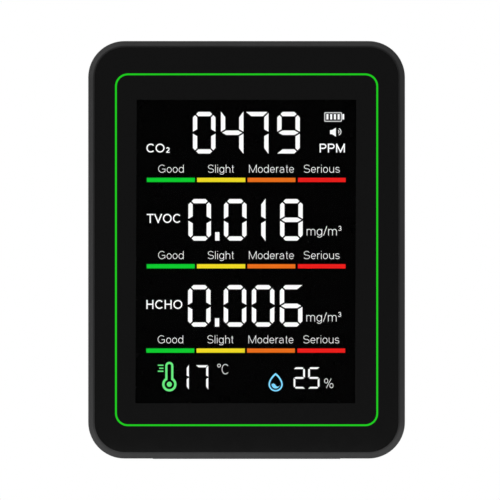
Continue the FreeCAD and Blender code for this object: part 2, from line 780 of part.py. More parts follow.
def wall_openings():
    """Button holes, the charging socket's mouth, the sound holes and the rear foot's recess."""
    tools = []
    for x in BUTTON_X:
        hole = (BUTTON_L + 0.4, BUTTON_D + 0.4, BUTTON_D / 2 + 0.19)
        tools.append(slab_up(*hole, (BODY_H - WALL - 1, BODY_H + 1), x, BUTTON_Y))
    wall_x = (BODY_W / 2 - WALL - 1, BODY_W / 2 + 1)
    tools.append(slab_side(USB_H + 0.6, USB_W + 0.6, 1.6, wall_x, USB_Y, USB_Z))
    tools.append(slab_side(4.8, 10.6, 2.3, (BODY_W / 2 - 0.6, BODY_W / 2 + 1), USB_Y, USB_Z))
    through = (BACK_Y - WALL - 1, BACK_Y + 1)
    tools.append(cyl_y(BUZZER_XZ[0], through, BUZZER_XZ[1], 0.6))
    tools += [cyl_y(x, through, z, 0.6) for x, z in ring_places(BUZZER_XZ, 2.6, 6)]
    tools.append(box(about(0, 52.4), (3.8, 8.2), (-1.0, 0.8)))
    return tools


def rear_foot_strip():
    return box(about(0, 52.0), (4.0, 8.0), (-FOOT_PROUD, 0.8))


def rear_vent_filter():
    y = (BACK_Y - WALL - FILTER_T, BACK_Y - WALL)
    middle = REAR_VENT_Z0 + VENT_PITCH * (REAR_VENT_ROWS - 1) / 2
    return slab(54.0, 27.0, 2.0, y, 0.0, middle)


def side_vent_filter(sign):
    x = sorted((sign * (BODY_W / 2 - WALL - FILTER_T), sign * (BODY_W / 2 - WALL)))
    middle = SIDE_VENT_Z0 + VENT_PITCH * (SIDE_VENT_ROWS - 1) / 2
    height = VENT_PITCH * SIDE_VENT_ROWS + 0.4
    return slab_side(SIDE_VENT_L + 3.0, height, 1.5, x, SIDE_VENT_Y, middle)


def housing_screws():
    one = screw(2.4, 1.8, 1.25, 10.0, 0.7)
    return group([one.translated(V(x, HEAD_SEAT_Y, z)) for x, z in corner_places()])


def rating_label():
    return slab(34.0, 38.0, 1.0, (POCKET_Y, POCKET_Y + 0.15), 0.0, 42.0)


# ---------------------------------------------------------------- folding stand
def stand_leg():
    width = LEG_W
    y = (LEG_INNER_Y, BACK_Y)
    corner = 3.0
    tall = HINGE_Z - LEG_FOOT_Z + corner
    plate = slab(width, tall, corner, y, 0.0, LEG_FOOT_Z + tall / 2)
    plate = round_edges(plate, 0.4, flat_in_y(BACK_Y))
    barrel_w = width - 0.8
    lower = box(about(0, width), y, (LEG_FOOT_Z, HINGE_Z - 4.2))
    upper = box(about(0, barrel_w), y, (HINGE_Z - 4.2, HINGE_Z))
    plate = plate.common(fuse([lower, upper]))
    barrel = cyl_x(about(0, barrel_w), HINGE_Y, HINGE_Z, BARREL_R)
    tab_y, tab_z = tab_profile()
    tab = box(about(0, TAB_W), [HINGE_Y + v for v in tab_y], [HINGE_Z + v for v in tab_z])
    leg = fuse([plate, barrel, tab])
    hollows = []
    for column in (-1, 0, 1):
        for row in range(4):
            z0 = LEG_FOOT_Z + 4.6 + 13.9 * row
            hollow_y = (LEG_INNER_Y - 1, LEG_INNER_Y + 1.8)
            hollows.append(slab(13.0, 12.5, 1.0, hollow_y, 14.2 * column, z0 + 6.25))
    grips = []
    for row in range(GRIP_COUNT):
        z = LEG_FOOT_Z + 5.6 + GRIP_PITCH * row
        grips.append(slab(GRIP_L, GRIP_W, GRIP_W / 2 - 0.01, (BACK_Y - GRIP_DEPTH, BACK_Y + 1), 0.0, z))
    pad_groove = box(about(0, 34.4), (LEG_INNER_Y + 0.6, BACK_Y - 0.6), (LEG_FOOT_Z - 1, LEG_FOOT_Z + 1.6))
    bore = cyl_x(about(0, width + 2), HINGE_Y, HINGE_Z, PIN_R + 0.05)
    return cut(leg, hollows + grips + [pad_groove, bore])


def stand_foot_pad():
    return box(about(0, 34.0), (LEG_INNER_Y + 0.7, BACK_Y - 0.7), (LEG_FOOT_Z - 0.3, LEG_FOOT_Z + 1.5))


def stand_pin():
    pin = cyl_x(about(0, PIN_LENGTH), HINGE_Y, HINGE_Z, PIN_R)
    return pin.makeChamfer(0.2, [e for e in pin.Edges if e.BoundBox.XLength < 1e-4])


def stand_washers():
    """Two friction washers between the leg and the pocket."""
    rings = []
    for sign in (-1, 1):
        x = sorted((sign * (LEG_W / 2 - 0.35), sign * (POCKET_W / 2 - 0.05)))
        ring = cyl_x(x, HINGE_Y, HINGE_Z, 2.6)
        rings.append(ring.cut(cyl_x(about(0, LEG_W + 10), HINGE_Y, HINGE_Z, PIN_R + 0.03)))
    return group(rings)


# ---------------------------------------------------------------- the whole list
def pieces():
    light_plate_y = CELL_BACK_Y + DIFFUSER_T
    made = {
        "front_housing": front_housing(),
        "bezel_plate": bezel_plate(),
        "status_light_ring": status_light_ring(),
        "display_window": display_window(),
        "front_foot_strip": front_foot_strip(),
        "display_gasket": display_gasket(),
        "display_film": display_film(),
        "display_front_glass": display_front_glass(),
        "display_rear_glass": display_rear_glass(),
        "display_pins": display_pins(),
        "backlight_tray": backlight_tray(),
        "backlight_diffuser": backlight_sheet(DIFFUSER_T, CELL_BACK_Y),
        "backlight_light_plate": backlight_sheet(LIGHT_PLATE_T, light_plate_y, 1.5),
        "backlight_reflector": backlight_sheet(REFLECTOR_T, light_plate_y + LIGHT_PLATE_T),
        "backlight_lamps": backlight_lamps(),
        "main_board": main_board(),
        "board_screws": board_screws(),
        "status_lamps": status_lamps(),
        "circuit_chips": circuit_chips(),
        "circuit_passives": circuit_passives(),
        "buzzer": buzzer(),
        "tact_switches": tact_switches(),
        "usb_socket_shell": usb_socket_shell(),
        "usb_socket_core": usb_socket_core(),
        "battery_cell": battery_cell(),
        "battery_tape": battery_tape(),
        "battery_socket": battery_socket(),
        "battery_plug": battery_plug(),
        "battery_lead_red": battery_lead(23.2, 27.0),
        "battery_lead_black": battery_lead(20.8, 24.0),
        "co2_sensor_board": co2_sensor_board(),
        "co2_sensor_body": co2_sensor_body(),
        "co2_sensor_filter": co2_sensor_filter(),
        "co2_sensor_pins": co2_sensor_pins(),
        "hcho_sensor_can": hcho_sensor_can(),
        "hcho_sensor_cap": hcho_sensor_cap(),
        "hcho_sensor_pins": hcho_sensor_pins(),
        "climate_sensor_board": climate_sensor_board(),
        "climate_sensor_chip": climate_sensor_chip(),
        "chamber_seal": chamber_seal(),
        "rear_cover": rear_cover(),
        "rear_foot_strip": rear_foot_strip(),
        "rear_vent_filter": rear_vent_filter(),
        "side_vent_filter_left": side_vent_filter(-1),
        "side_vent_filter_right": side_vent_filter(1),
        "housing_screws": housing_screws(),
        "rating_label": rating_label(),
        "stand_leg": stand_leg(),
        "stand_foot_pad": stand_foot_pad(),
        "stand_pin": stand_pin(),
        "stand_washers": stand_washers(),
    }
    for name, x in zip(BUTTON_NAMES, BUTTON_X):
        made[f"{name}_button"] = button_cap(x)
        made[f"{name}_switch_plunger"] = switch_plunger(x)
    return made


def main():
    os.makedirs("parts", exist_ok=True)
    for name, shape in pieces().items():
        shape.translate(V(0, 0, FOOT_PROUD))
        shape.exportStep(f"parts/{name}.step")


main()
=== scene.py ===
"""Desktop air quality monitor: finishes, lit display and stage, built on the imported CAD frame."""
import json
import math

import bpy
from bpy.props import FloatProperty, FloatVectorProperty, PointerProperty, StringProperty
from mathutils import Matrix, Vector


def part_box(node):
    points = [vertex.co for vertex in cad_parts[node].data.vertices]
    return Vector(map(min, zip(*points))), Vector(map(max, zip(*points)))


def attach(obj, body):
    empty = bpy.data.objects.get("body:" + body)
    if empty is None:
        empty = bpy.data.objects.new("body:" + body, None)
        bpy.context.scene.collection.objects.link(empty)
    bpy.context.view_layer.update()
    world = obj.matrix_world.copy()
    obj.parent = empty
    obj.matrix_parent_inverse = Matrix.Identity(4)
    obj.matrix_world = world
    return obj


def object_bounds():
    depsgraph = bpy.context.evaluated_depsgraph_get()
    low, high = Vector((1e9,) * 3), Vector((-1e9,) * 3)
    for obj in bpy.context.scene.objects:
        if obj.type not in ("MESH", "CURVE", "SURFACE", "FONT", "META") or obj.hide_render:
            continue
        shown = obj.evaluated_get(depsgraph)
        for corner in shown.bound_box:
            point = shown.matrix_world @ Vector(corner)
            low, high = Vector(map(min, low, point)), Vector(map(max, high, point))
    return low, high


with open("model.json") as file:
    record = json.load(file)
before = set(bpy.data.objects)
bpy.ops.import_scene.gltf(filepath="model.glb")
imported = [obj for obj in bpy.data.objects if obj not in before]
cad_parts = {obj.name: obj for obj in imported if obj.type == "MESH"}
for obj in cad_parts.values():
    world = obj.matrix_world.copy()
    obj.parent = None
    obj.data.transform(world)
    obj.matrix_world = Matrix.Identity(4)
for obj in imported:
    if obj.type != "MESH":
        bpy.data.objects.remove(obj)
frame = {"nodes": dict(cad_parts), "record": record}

bl_info = {
    "name": "Air Quality Monitor",
    "version": (1, 0, 0),
    "blender": (4, 5, 0),
    "location": "View3D > Sidebar > Monitor",
    "description": "Finishes, lit display, key prints and studio for an air quality monitor",
    "category": "Object",
}

MM = 0.001
HOUSING = "housing"
UPRIGHT = (math.radians(90), 0.0, 0.0)
WHITE = (1.0, 1.0, 1.0, 1.0)
GRAIN = 0.22 * MM

bpy.context.view_layer.update()
CAD_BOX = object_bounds()

# Places that everything is measured from, all read from the frame.
CENTRE_X = (CAD_BOX[0].x + CAD_BOX[1].x) / 2
BOTTOM_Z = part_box("front_housing")[0].z
TOP_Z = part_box("front_housing")[1].z
WIDTH = CAD_BOX[1].x - CAD_BOX[0].x
MIDDLE_Z = (BOTTOM_Z + TOP_Z) / 2
FILM_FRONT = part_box("display_film")[0].y
WINDOW_LOW, WINDOW_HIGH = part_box("display_window")


# ---------------------------------------------------------------- settings
class MonitorReadings(bpy.types.PropertyGroup):
    """What the display shows."""

    co2: StringProperty(
        name="Carbon dioxide", description="Four figures, parts per million", default="0479",
    )
    tvoc: StringProperty(
        name="Vapours", description="Milligrams per cubic metre", default="0.018",
    )
    hcho: StringProperty(
        name="Formaldehyde", description="Milligrams per cubic metre", default="0.006",
    )
    warmth: StringProperty(name="Temperature", description="Degrees Celsius", default="17")
    damp: StringProperty(name="Humidity", description="Percent", default="25")
    levels: StringProperty(
        name="Level words",
        description="Four words over the coloured bars, parted by spaces",
        default="Good Slight Moderate Serious",
    )


class MonitorDisplay(bpy.types.PropertyGroup):
    """Sizes and colours of the lit artwork."""

    figure_height: FloatProperty(
        name="Figure height", description="Height of the large figures",
        default=11.57 * MM, unit="LENGTH",
    )
    figure_width: FloatProperty(
        name="Figure width", description="Width of the large figures",
        default=6.27 * MM, unit="LENGTH",
    )
    stroke: FloatProperty(
        name="Segment width", description="Width of a large figure's segment",
        default=1.2 * MM, unit="LENGTH",
    )
    bar_height: FloatProperty(
        name="Bar height", description="Height of the coloured level bars",
        default=1.2 * MM, unit="LENGTH",
    )
    glow: FloatProperty(
        name="Brightness", description="How brightly the artwork is lit",
        default=1.0, min=0.0, soft_max=4.0,
    )
    white: FloatVectorProperty(
        name="White", description="Figures and icons", default=(1.0, 1.0, 1.0), subtype="COLOR",
    )
    label: FloatVectorProperty(
        name="Labels", description="Bold labels", default=(1.0, 1.0, 1.0), subtype="COLOR",
    )
    words: FloatVectorProperty(
        name="Words", description="Level words and units",
        default=(0.94, 0.94, 0.94), subtype="COLOR",
    )
    good: FloatVectorProperty(
        name="First level", description="Green bars",
        default=(0.002, 0.595, 0.027), subtype="COLOR",
    )
    slight: FloatVectorProperty(
        name="Second level", description="Yellow bars",
        default=(0.84, 0.69, 0.017), subtype="COLOR",
    )
    moderate: FloatVectorProperty(
        name="Third level", description="Orange bars",
        default=(0.785, 0.153, 0.009), subtype="COLOR",
    )
    serious: FloatVectorProperty(
        name="Fourth level", description="Red bars",
        default=(0.795, 0.011, 0.009), subtype="COLOR",
    )
    warmth: FloatVectorProperty(
        name="Thermometer", description="Thermometer icon",
        default=(0.14, 0.81, 0.21), subtype="COLOR",
    )
    damp: FloatVectorProperty(
        name="Drop", description="Drop icon", default=(0.225, 0.69, 1.0), subtype="COLOR",
    )
    ring: FloatVectorProperty(
        name="Light ring", description="The green ring round the window",
        default=(0.012, 0.57, 0.012),
        subtype="COLOR",
    )


class MonitorFinish(bpy.types.PropertyGroup):
    """Colours and grain of the mouldings."""

    shell: FloatVectorProperty(
        name="Shell", description="Housing, cover and stand",
        default=(0.011, 0.011, 0.0115), subtype="COLOR",
    )
    face: FloatVectorProperty(
        name="Face", description="Gloss plate round the light ring, and the window's print",
        default=(0.0016, 0.0016, 0.0016), subtype="COLOR",
    )
    grain: FloatProperty(
        name="Grain size", description="Size of the moulded texture",
        default=GRAIN, unit="LENGTH",
    )


class MonitorStage(bpy.types.PropertyGroup):
    """Camera, light and floor."""

    width_share: FloatProperty(
        name="Housing share", description="Share of the picture's width that the housing takes",
        default=0.6335, min=0.1, max=1.0, subtype="FACTOR",
    )
    shift_right: FloatProperty(
        name="Sideways aim", description="How far right of the housing's middle the camera aims",
        default=0.95 * MM, unit="LENGTH",
    )
    shift_down: FloatProperty(
        name="Downward aim", description="How far under the housing's middle the camera aims",
        default=0.06 * MM, unit="LENGTH",
    )
    surround: FloatProperty(
        name="Surround", description="Brightness of the white room beside and behind",
        default=1.0, min=0.0,
    )
    front_fill: FloatProperty(
        name="Front fill", description="Brightness of the dark wall in front",
        default=0.18, min=0.0,
    )
    floor: FloatVectorProperty(
        name="Floor", description="Floor colour", default=(0.6, 0.6, 0.597), subtype="COLOR",
    )
    floor_glow: FloatProperty(
        name="Floor glow", description="How brightly the floor itself is lit from below",
        default=0.28, min=0.0,
    )
    floor_pool: FloatProperty(
        name="Floor pool", description="Light that the floor throws up on the object",
        default=0.8, min=0.0,
    )


# ---------------------------------------------------------------- node helpers
NOISE_LOW, NOISE_HIGH = 0.3, 0.7  # nearly all of a noise value lies between these


def new_material(name):
    """A material with one Principled shader, and its node tree."""
    material = bpy.data.materials.new(name)
    material.use_nodes = True
    return material, material.node_tree, material.node_tree.nodes["Principled BSDF"]


def node(tree, kind, **values):
    """A node with its plain settings and socket values filled in."""
    made = tree.nodes.new(kind)
    for key, value in values.items():
        if hasattr(made, key) and not key[0].isupper():
            setattr(made, key, value)
        else:
            made.inputs[key.replace("_", " ")].default_value = value
    return made


def place(tree):
    """Object coordinates, which stay on the piece when it moves."""
    return node(tree, "ShaderNodeTexCoord").outputs["Object"]


def noise(tree, size, detail=2.0, roughness=0.5):
    """Noise whose lumps are about size metres across."""
    made = node(tree, "ShaderNodeTexNoise", Scale=1.0 / size, Detail=detail, Roughness=roughness)
    tree.links.new(place(tree), made.inputs["Vector"])
    return made.outputs["Fac"]


def spread(tree, value, low, high):
    """Stretches a noise value over low to high."""
    made = node(tree, "ShaderNodeMapRange", From_Min=NOISE_LOW, From_Max=NOISE_HIGH,
                To_Min=low, To_Max=high)
    tree.links.new(value, made.inputs["Value"])
    return made.outputs["Result"]


def tint(tree, value, first, second):
    """A colour between two others, by a noise value."""
    ramp = node(tree, "ShaderNodeValToRGB")
    ramp.color_ramp.elements[0].color = (*first, 1.0)
    ramp.color_ramp.elements[1].color = (*second, 1.0)
    ramp.color_ramp.elements[0].position = NOISE_LOW
    ramp.color_ramp.elements[1].position = NOISE_HIGH
    tree.links.new(value, ramp.inputs["Fac"])
    return ramp.outputs["Color"]


def raise_grain(tree, shader, height, depth, strength=0.5):
    """Bump from a height value. depth is in metres."""
    bump = node(tree, "ShaderNodeBump", Strength=strength, Distance=depth)
    tree.links.new(height, bump.inputs["Height"])
    tree.links.new(bump.outputs["Normal"], shader.inputs["Normal"])


def shade(colour, factor):
    """The colour made darker or lighter by a factor."""
    return tuple(min(1.0, c * factor) for c in colour)


# ---------------------------------------------------------------- finishes
def moulded(name, colour, rough=0.45, grain=GRAIN, depth=0.02 * MM, vary=0.12, specular=0.5,
            uneven=0.04):
    """Moulded plastic: slight cloudiness, uneven gloss and a fine tool-steel grain.

    The colour wanders by the share vary either way, and the roughness by uneven.
    """
    material, tree, shader = new_material(name)
    cloud = noise(tree, 9 * MM, detail=3.0)
    tree.links.new(tint(tree, cloud, shade(colour, 1 - vary), shade(colour, 1 + vary)),
                   shader.inputs["Base Color"])
    tree.links.new(spread(tree, noise(tree, 3 * MM, detail=4.0), rough - uneven, rough + uneven),
                   shader.inputs["Roughness"])
    shader.inputs["Specular IOR Level"].default_value = specular
    raise_grain(tree, shader, noise(tree, grain), depth, strength=0.35)
    return material


def metal(name, colour, rough=0.3, streak=0.06 * MM):
    """Drawn or plated steel, brushed along its length."""
    material, tree, shader = new_material(name)
    shader.inputs["Metallic"].default_value = 1.0
    mapping = node(tree, "ShaderNodeMapping", Scale=(1.0, 0.08, 1.0))
    tree.links.new(place(tree), mapping.inputs["Vector"])
    lines = node(tree, "ShaderNodeTexNoise", Scale=1.0 / streak, Detail=3.0)
    tree.links.new(mapping.outputs["Vector"], lines.inputs["Vector"])
    tree.links.new(tint(tree, lines.outputs["Fac"], shade(colour, 0.86), shade(colour, 1.08)),
                   shader.inputs["Base Color"])
    tree.links.new(spread(tree, lines.outputs["Fac"], rough - 0.06, rough + 0.08),
                   shader.inputs["Roughness"])
    raise_grain(tree, shader, lines.outputs["Fac"], 0.004 * MM, strength=0.3)
    return material


def soft_rubber(name, colour, rough=0.75):
    """Rubber or a lead's cover: duller and coarser than the mouldings."""
    return moulded(name, colour, rough, grain=0.35 * MM, depth=0.03 * MM, vary=0.18, specular=0.35)


def foam(name, colour):
    """Closed-cell foam, with painted shade in its cells: darker where each cell dips."""
    material, tree, shader = new_material(name)
    cells = node(tree, "ShaderNodeTexVoronoi", Scale=1.0 / (0.5 * MM))
    tree.links.new(place(tree), cells.inputs["Vector"])
    # painted shade: each cell darker towards its middle, where the bump dips, and lighter at its rim
    tree.links.new(tint(tree, cells.outputs["Distance"], shade(colour, 0.6), shade(colour, 1.4)),
                   shader.inputs["Base Color"])
    shader.inputs["Roughness"].default_value = 0.95
    raise_grain(tree, shader, cells.outputs["Distance"], 0.08 * MM, strength=0.6)
    return material


def clear_lens(name):
    """Clear acrylic with an anti-glare coating, so it hardly reflects."""
    material, tree, shader = new_material(name)
    tree.links.new(tint(tree, noise(tree, 8 * MM), (0.965, 0.97, 0.97), (0.975, 0.98, 0.98)),
                   shader.inputs["Base Color"])
    shader.inputs["Transmission Weight"].default_value = 1.0
    shader.inputs["IOR"].default_value = 1.1
    shader.inputs["Roughness"].default_value = 0.0
    return material


def lit(name, colour, strength):
    """Artwork lit from behind: black when the lamps are off."""
    material, tree, shader = new_material(name)
    shader.inputs["Emission Color"].default_value = (*colour, 1.0)
    shader.inputs["Emission Strength"].default_value = strength
    dark = shade(colour, 0.04)
    tree.links.new(tint(tree, noise(tree, 0.4 * MM), dark, shade(dark, 1.3)),
                   shader.inputs["Base Color"])
    shader.inputs["Roughness"].default_value = 0.5
    shader.inputs["Specular IOR Level"].default_value = 0.1
    return material


def woven(name, colour, pitch=0.45 * MM):
    """Fine square mesh, with painted shade in the gaps between its threads."""
    material, tree, shader = new_material(name)
    heights = []
    for direction in ("X", "Z"):
        wave = node(tree, "ShaderNodeTexWave", Scale=0.5 / pitch, bands_direction=direction)
        tree.links.new(place(tree), wave.inputs["Vector"])
        heights.append(wave.outputs["Fac"])
    both = node(tree, "ShaderNodeMath", operation="MAXIMUM")
    tree.links.new(heights[0], both.inputs[0])
    tree.links.new(heights[1], both.inputs[1])
    # painted shade: the gaps between threads darker, where the bump dips, and the threads lighter
    tree.links.new(tint(tree, both.outputs[0], shade(colour, 0.25), shade(colour, 1.6)),
                   shader.inputs["Base Color"])
    shader.inputs["Roughness"].default_value = 0.85
    raise_grain(tree, shader, both.outputs[0], 0.12 * MM, strength=0.8)
    return material


def circuit_board(name):
    """Green solder mask with copper tracks showing through as lighter lines."""
    material, tree, shader = new_material(name)
    tracks = node(
        tree, "ShaderNodeTexBrick", Scale=1.0, Mortar_Size=0.12 * MM, Brick_Width=5.2 * MM,
        Row_Height=1.1 * MM, offset=0.37, Mortar_Smooth=0.1,
    )
    mapping = node(tree, "ShaderNodeMapping", Rotation=UPRIGHT)
    tree.links.new(place(tree), mapping.inputs["Vector"])
    tree.links.new(mapping.outputs["Vector"], tracks.inputs["Vector"])
    tracks.inputs["Color1"].default_value = (0.008, 0.075, 0.03, 1.0)
    tracks.inputs["Color2"].default_value = (0.01, 0.09, 0.035, 1.0)
    tracks.inputs["Mortar"].default_value = (0.02, 0.17, 0.06, 1.0)
    tree.links.new(tracks.outputs["Color"], shader.inputs["Base Color"])
    tree.links.new(spread(tree, noise(tree, 2 * MM), 0.25, 0.4), shader.inputs["Roughness"])
    raise_grain(tree, shader, tracks.outputs["Fac"], 0.03 * MM)
    return material


def mixed_parts(name):
    """Small board parts: each place gets its own tone, from tan to near black."""
    material, tree, shader = new_material(name)
    cells = node(tree, "ShaderNodeTexVoronoi", Scale=1.0 / (3.0 * MM), feature="F1")
    tree.links.new(place(tree), cells.inputs["Vector"])
    split = node(tree, "ShaderNodeSeparateColor")
    tree.links.new(cells.outputs["Color"], split.inputs[0])
    tree.links.new(tint(tree, split.outputs[0], (0.03, 0.03, 0.03), (0.45, 0.3, 0.16)),
                   shader.inputs["Base Color"])
    tree.links.new(spread(tree, noise(tree, 0.8 * MM), 0.35, 0.55), shader.inputs["Roughness"])
    return material


def foil(name, colour):
    """Crinkled laminate of a pouch cell."""
    material, tree, shader = new_material(name)
    creases = noise(tree, 5 * MM, detail=6.0, roughness=0.65)
    shader.inputs["Metallic"].default_value = 0.7
    tree.links.new(tint(tree, creases, shade(colour, 0.8), shade(colour, 1.1)),
                   shader.inputs["Base Color"])
    tree.links.new(spread(tree, creases, 0.3, 0.5), shader.inputs["Roughness"])
    raise_grain(tree, shader, creases, 0.2 * MM)
    return material


def see_through(name, colour, alpha, rough=0.08):
    """Thin clear sheet that lets most of what is behind it show."""
    material, tree, shader = new_material(name)
    tree.links.new(tint(tree, noise(tree, 6 * MM), shade(colour, 0.95), shade(colour, 1.03)),
                   shader.inputs["Base Color"])
    shader.inputs["Alpha"].default_value = alpha
    tree.links.new(spread(tree, noise(tree, 4 * MM), rough, rough + 0.05),
                   shader.inputs["Roughness"])
    return material


def finish_table():
    """Every finish by the record's slot name."""
    finish = bpy.context.scene.monitor_finish
    display = bpy.context.scene.monitor_display
    grain = finish.grain
    return {
        "shell_black": moulded("shell_black", finish.shell, 0.46, grain),
        "face_black": moulded("face_black", finish.face, 0.035, grain, depth=0.0001 * MM,
                              vary=0.1, uneven=0.005),
        "window_lens": clear_lens("window_lens"),
        "light_guide_green": lit("light_guide_green", display.ring, 1.0),
        "foot_rubber": soft_rubber("foot_rubber", (0.018, 0.018, 0.018)),
        "foam_black": foam("foam_black", (0.02, 0.02, 0.02)),
        "display_film": moulded("display_film", (0.0003, 0.0003, 0.0004), 0.3, grain,
                                depth=0.001 * MM, vary=0.2, specular=0.02),
        "display_glass": see_through("display_glass", (0.35, 0.37, 0.36), alpha=0.35),
        "pin_metal": metal("pin_metal", (0.72, 0.7, 0.66)),
        "tray_white": moulded("tray_white", (0.8, 0.8, 0.78), 0.5),
        "diffuser_white": moulded("diffuser_white", (0.86, 0.87, 0.86), 0.7),
        "light_plate_clear": see_through("light_plate_clear", (0.9, 0.92, 0.92), alpha=0.4),
        "lamp_strip": moulded("lamp_strip", (0.8, 0.76, 0.5), 0.4),
        "board_green": circuit_board("board_green"),
        "steel_screw": metal("steel_screw", (0.42, 0.42, 0.43), 0.34),
        "pin_steel": metal("pin_steel", (0.55, 0.55, 0.56), 0.25),
        "socket_steel": metal("socket_steel", (0.6, 0.6, 0.61), 0.3),
        "part_black": moulded("part_black", (0.015, 0.015, 0.016), 0.4),
        "part_mixed": mixed_parts("part_mixed"),
        "battery_wrap": foil("battery_wrap", (0.55, 0.57, 0.6)),
        "tape_white": foam("tape_white", (0.7, 0.7, 0.68)),
        "plug_white": moulded("plug_white", (0.76, 0.75, 0.7), 0.45),
        "lead_red": soft_rubber("lead_red", (0.5, 0.02, 0.02), 0.5),
        "lead_black": soft_rubber("lead_black", (0.015, 0.015, 0.015), 0.5),
        "sensor_gold": metal("sensor_gold", (0.8, 0.55, 0.2), 0.3),
        "sensor_can": metal("sensor_can", (0.6, 0.6, 0.6), 0.32),
        "sensor_cap": moulded("sensor_cap", (0.76, 0.76, 0.73), 0.5),
        "filter_white": woven("filter_white", (0.6, 0.6, 0.58), pitch=0.3 * MM),
        "filter_black": woven("filter_black", (0.02, 0.02, 0.02)),
        "label_grey": moulded("label_grey", (0.06, 0.06, 0.063), 0.35, 0.5 * MM, depth=0.002 * MM),
        "key_black": moulded("key_black", (0.02, 0.02, 0.0205), 0.35, grain, depth=0.008 * MM),
    }


# ---------------------------------------------------------------- modelling helpers
DRAWN_DEPTH = 0.02  # any depth serves while a shape is drawn, because to_mesh sets the real one
WELD = 0.0005  # points nearer than this, in millimetres, become one
ARC_STEP = 12  # degrees


def deselect():
    """Leaves nothing selected, the frame's own nodes included."""
    bpy.ops.object.select_all(action="DESELECT")


def pick(obj):
    """Selects one object and makes it the active one."""
    deselect()
    obj.select_set(True)
    bpy.context.view_layer.objects.active = obj


def settle(obj, name, body, material):
    """Puts the piece's place into its mesh and hands it to its body."""
    pick(obj)
    bpy.ops.object.transform_apply(location=True, rotation=True, scale=True)
    obj.name = name
    obj.data.name = name
    obj.data.materials.clear()
    obj.data.materials.append(material)
    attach(obj, body)


def curve_object(name, curve, runs, closed):
    """Draws runs of points on a curve and puts it in the scene."""
    for run in runs:
        spline = curve.splines.new("POLY")
        spline.points.add(len(run) - 1)
        for point, (x, z) in zip(spline.points, run):
            point.co = (x, z, 0.0, 1.0)
        spline.use_cyclic_u = closed
    obj = bpy.data.objects.new(name, curve)
    bpy.context.scene.collection.objects.link(obj)
    return obj


def to_mesh(obj, thickness):
    """Makes a curve drawn in millimetres a closed mesh, thickness deep."""
    pick(obj)
    bpy.ops.object.convert(target="MESH")
    bpy.ops.object.mode_set(mode="EDIT")
    bpy.ops.mesh.select_all(action="SELECT")
    bpy.ops.mesh.remove_doubles(threshold=WELD)
    bpy.ops.mesh.normals_make_consistent(inside=False)
    bpy.ops.object.mode_set(mode="OBJECT")
    obj.scale = (MM, MM, thickness / obj.dimensions.z)


def stand_up(obj, y):
    """Turns flat work upright, facing the reader, in the housing's millimetre frame."""
    obj.rotation_euler = UPRIGHT
    obj.location = (CENTRE_X + ART_SHIFT, y, BOTTOM_Z)


def flat_work(name, outlines):
    """Flat filled shapes. An outline inside another is a hole."""
    curve = bpy.data.curves.new(name, "CURVE")
    curve.dimensions = "2D"
    curve.fill_mode = "BOTH"
    curve.extrude = DRAWN_DEPTH
    return curve_object(name, curve, outlines, closed=True)


def line_work(name, strokes, weight):
    """Lettering drawn with a flat pen: each stroke is a list of points."""
    curve = bpy.data.curves.new(name, "CURVE")
    curve.dimensions = "3D"
    curve.bevel_depth = weight / 2
    curve.bevel_resolution = 1
    curve.use_fill_caps = True
    return curve_object(name, curve, strokes, closed=False)


def arc(cx, cz, rx, rz, start, end, steps=None):
    """Points on an ellipse's arc, angles in degrees from +x, either way round."""
    count = steps or max(3, int(abs(end - start) / ARC_STEP))
    angles = [math.radians(start + (end - start) * i / count) for i in range(count + 1)]
    return [(cx + rx * math.cos(a), cz + rz * math.sin(a)) for a in angles]


def circle(cx, cz, r, steps=32):
    """A full circle's outline."""
    return arc(cx, cz, r, r, 0.0, 360.0, steps)[:-1]


def rectangle(x0, z0, x1, z1):
    """The outline between two opposite corners."""
    return [(x0, z0), (x1, z0), (x1, z1), (x0, z1)]


def soft_rectangle(x0, z0, x1, z1, r):
    """The outline between two opposite corners, each corner rounded by r."""
    corners = [
        (x1 - r, z1 - r, 0), (x0 + r, z1 - r, 90), (x0 + r, z0 + r, 180), (x1 - r, z0 + r, 270),
    ]
    return [p for x, z, a in corners for p in arc(x, z, r, r, a, a + 90, 6)]


# ---------------------------------------------------------------- segment figures
SEGMENTS = {
    "0": "abcdef", "1": "bc", "2": "abdeg", "3": "abcdg", "4": "bcfg",
    "5": "acdfg", "6": "acdefg", "7": "abc", "8": "abcdefg", "9": "abcdfg",
}
# A segment's proportions, in widths of its stroke.
CORNER_GAP = 0.25
CORNER_CUT = 1.27
FREE_POINT = 0.1
BAR_TIP, BAR_SHOULDER, BAR_HALF = 0.3, 1.22, 0.517
FOOT_INNER, FOOT_OUTER = 0.805, 0.237


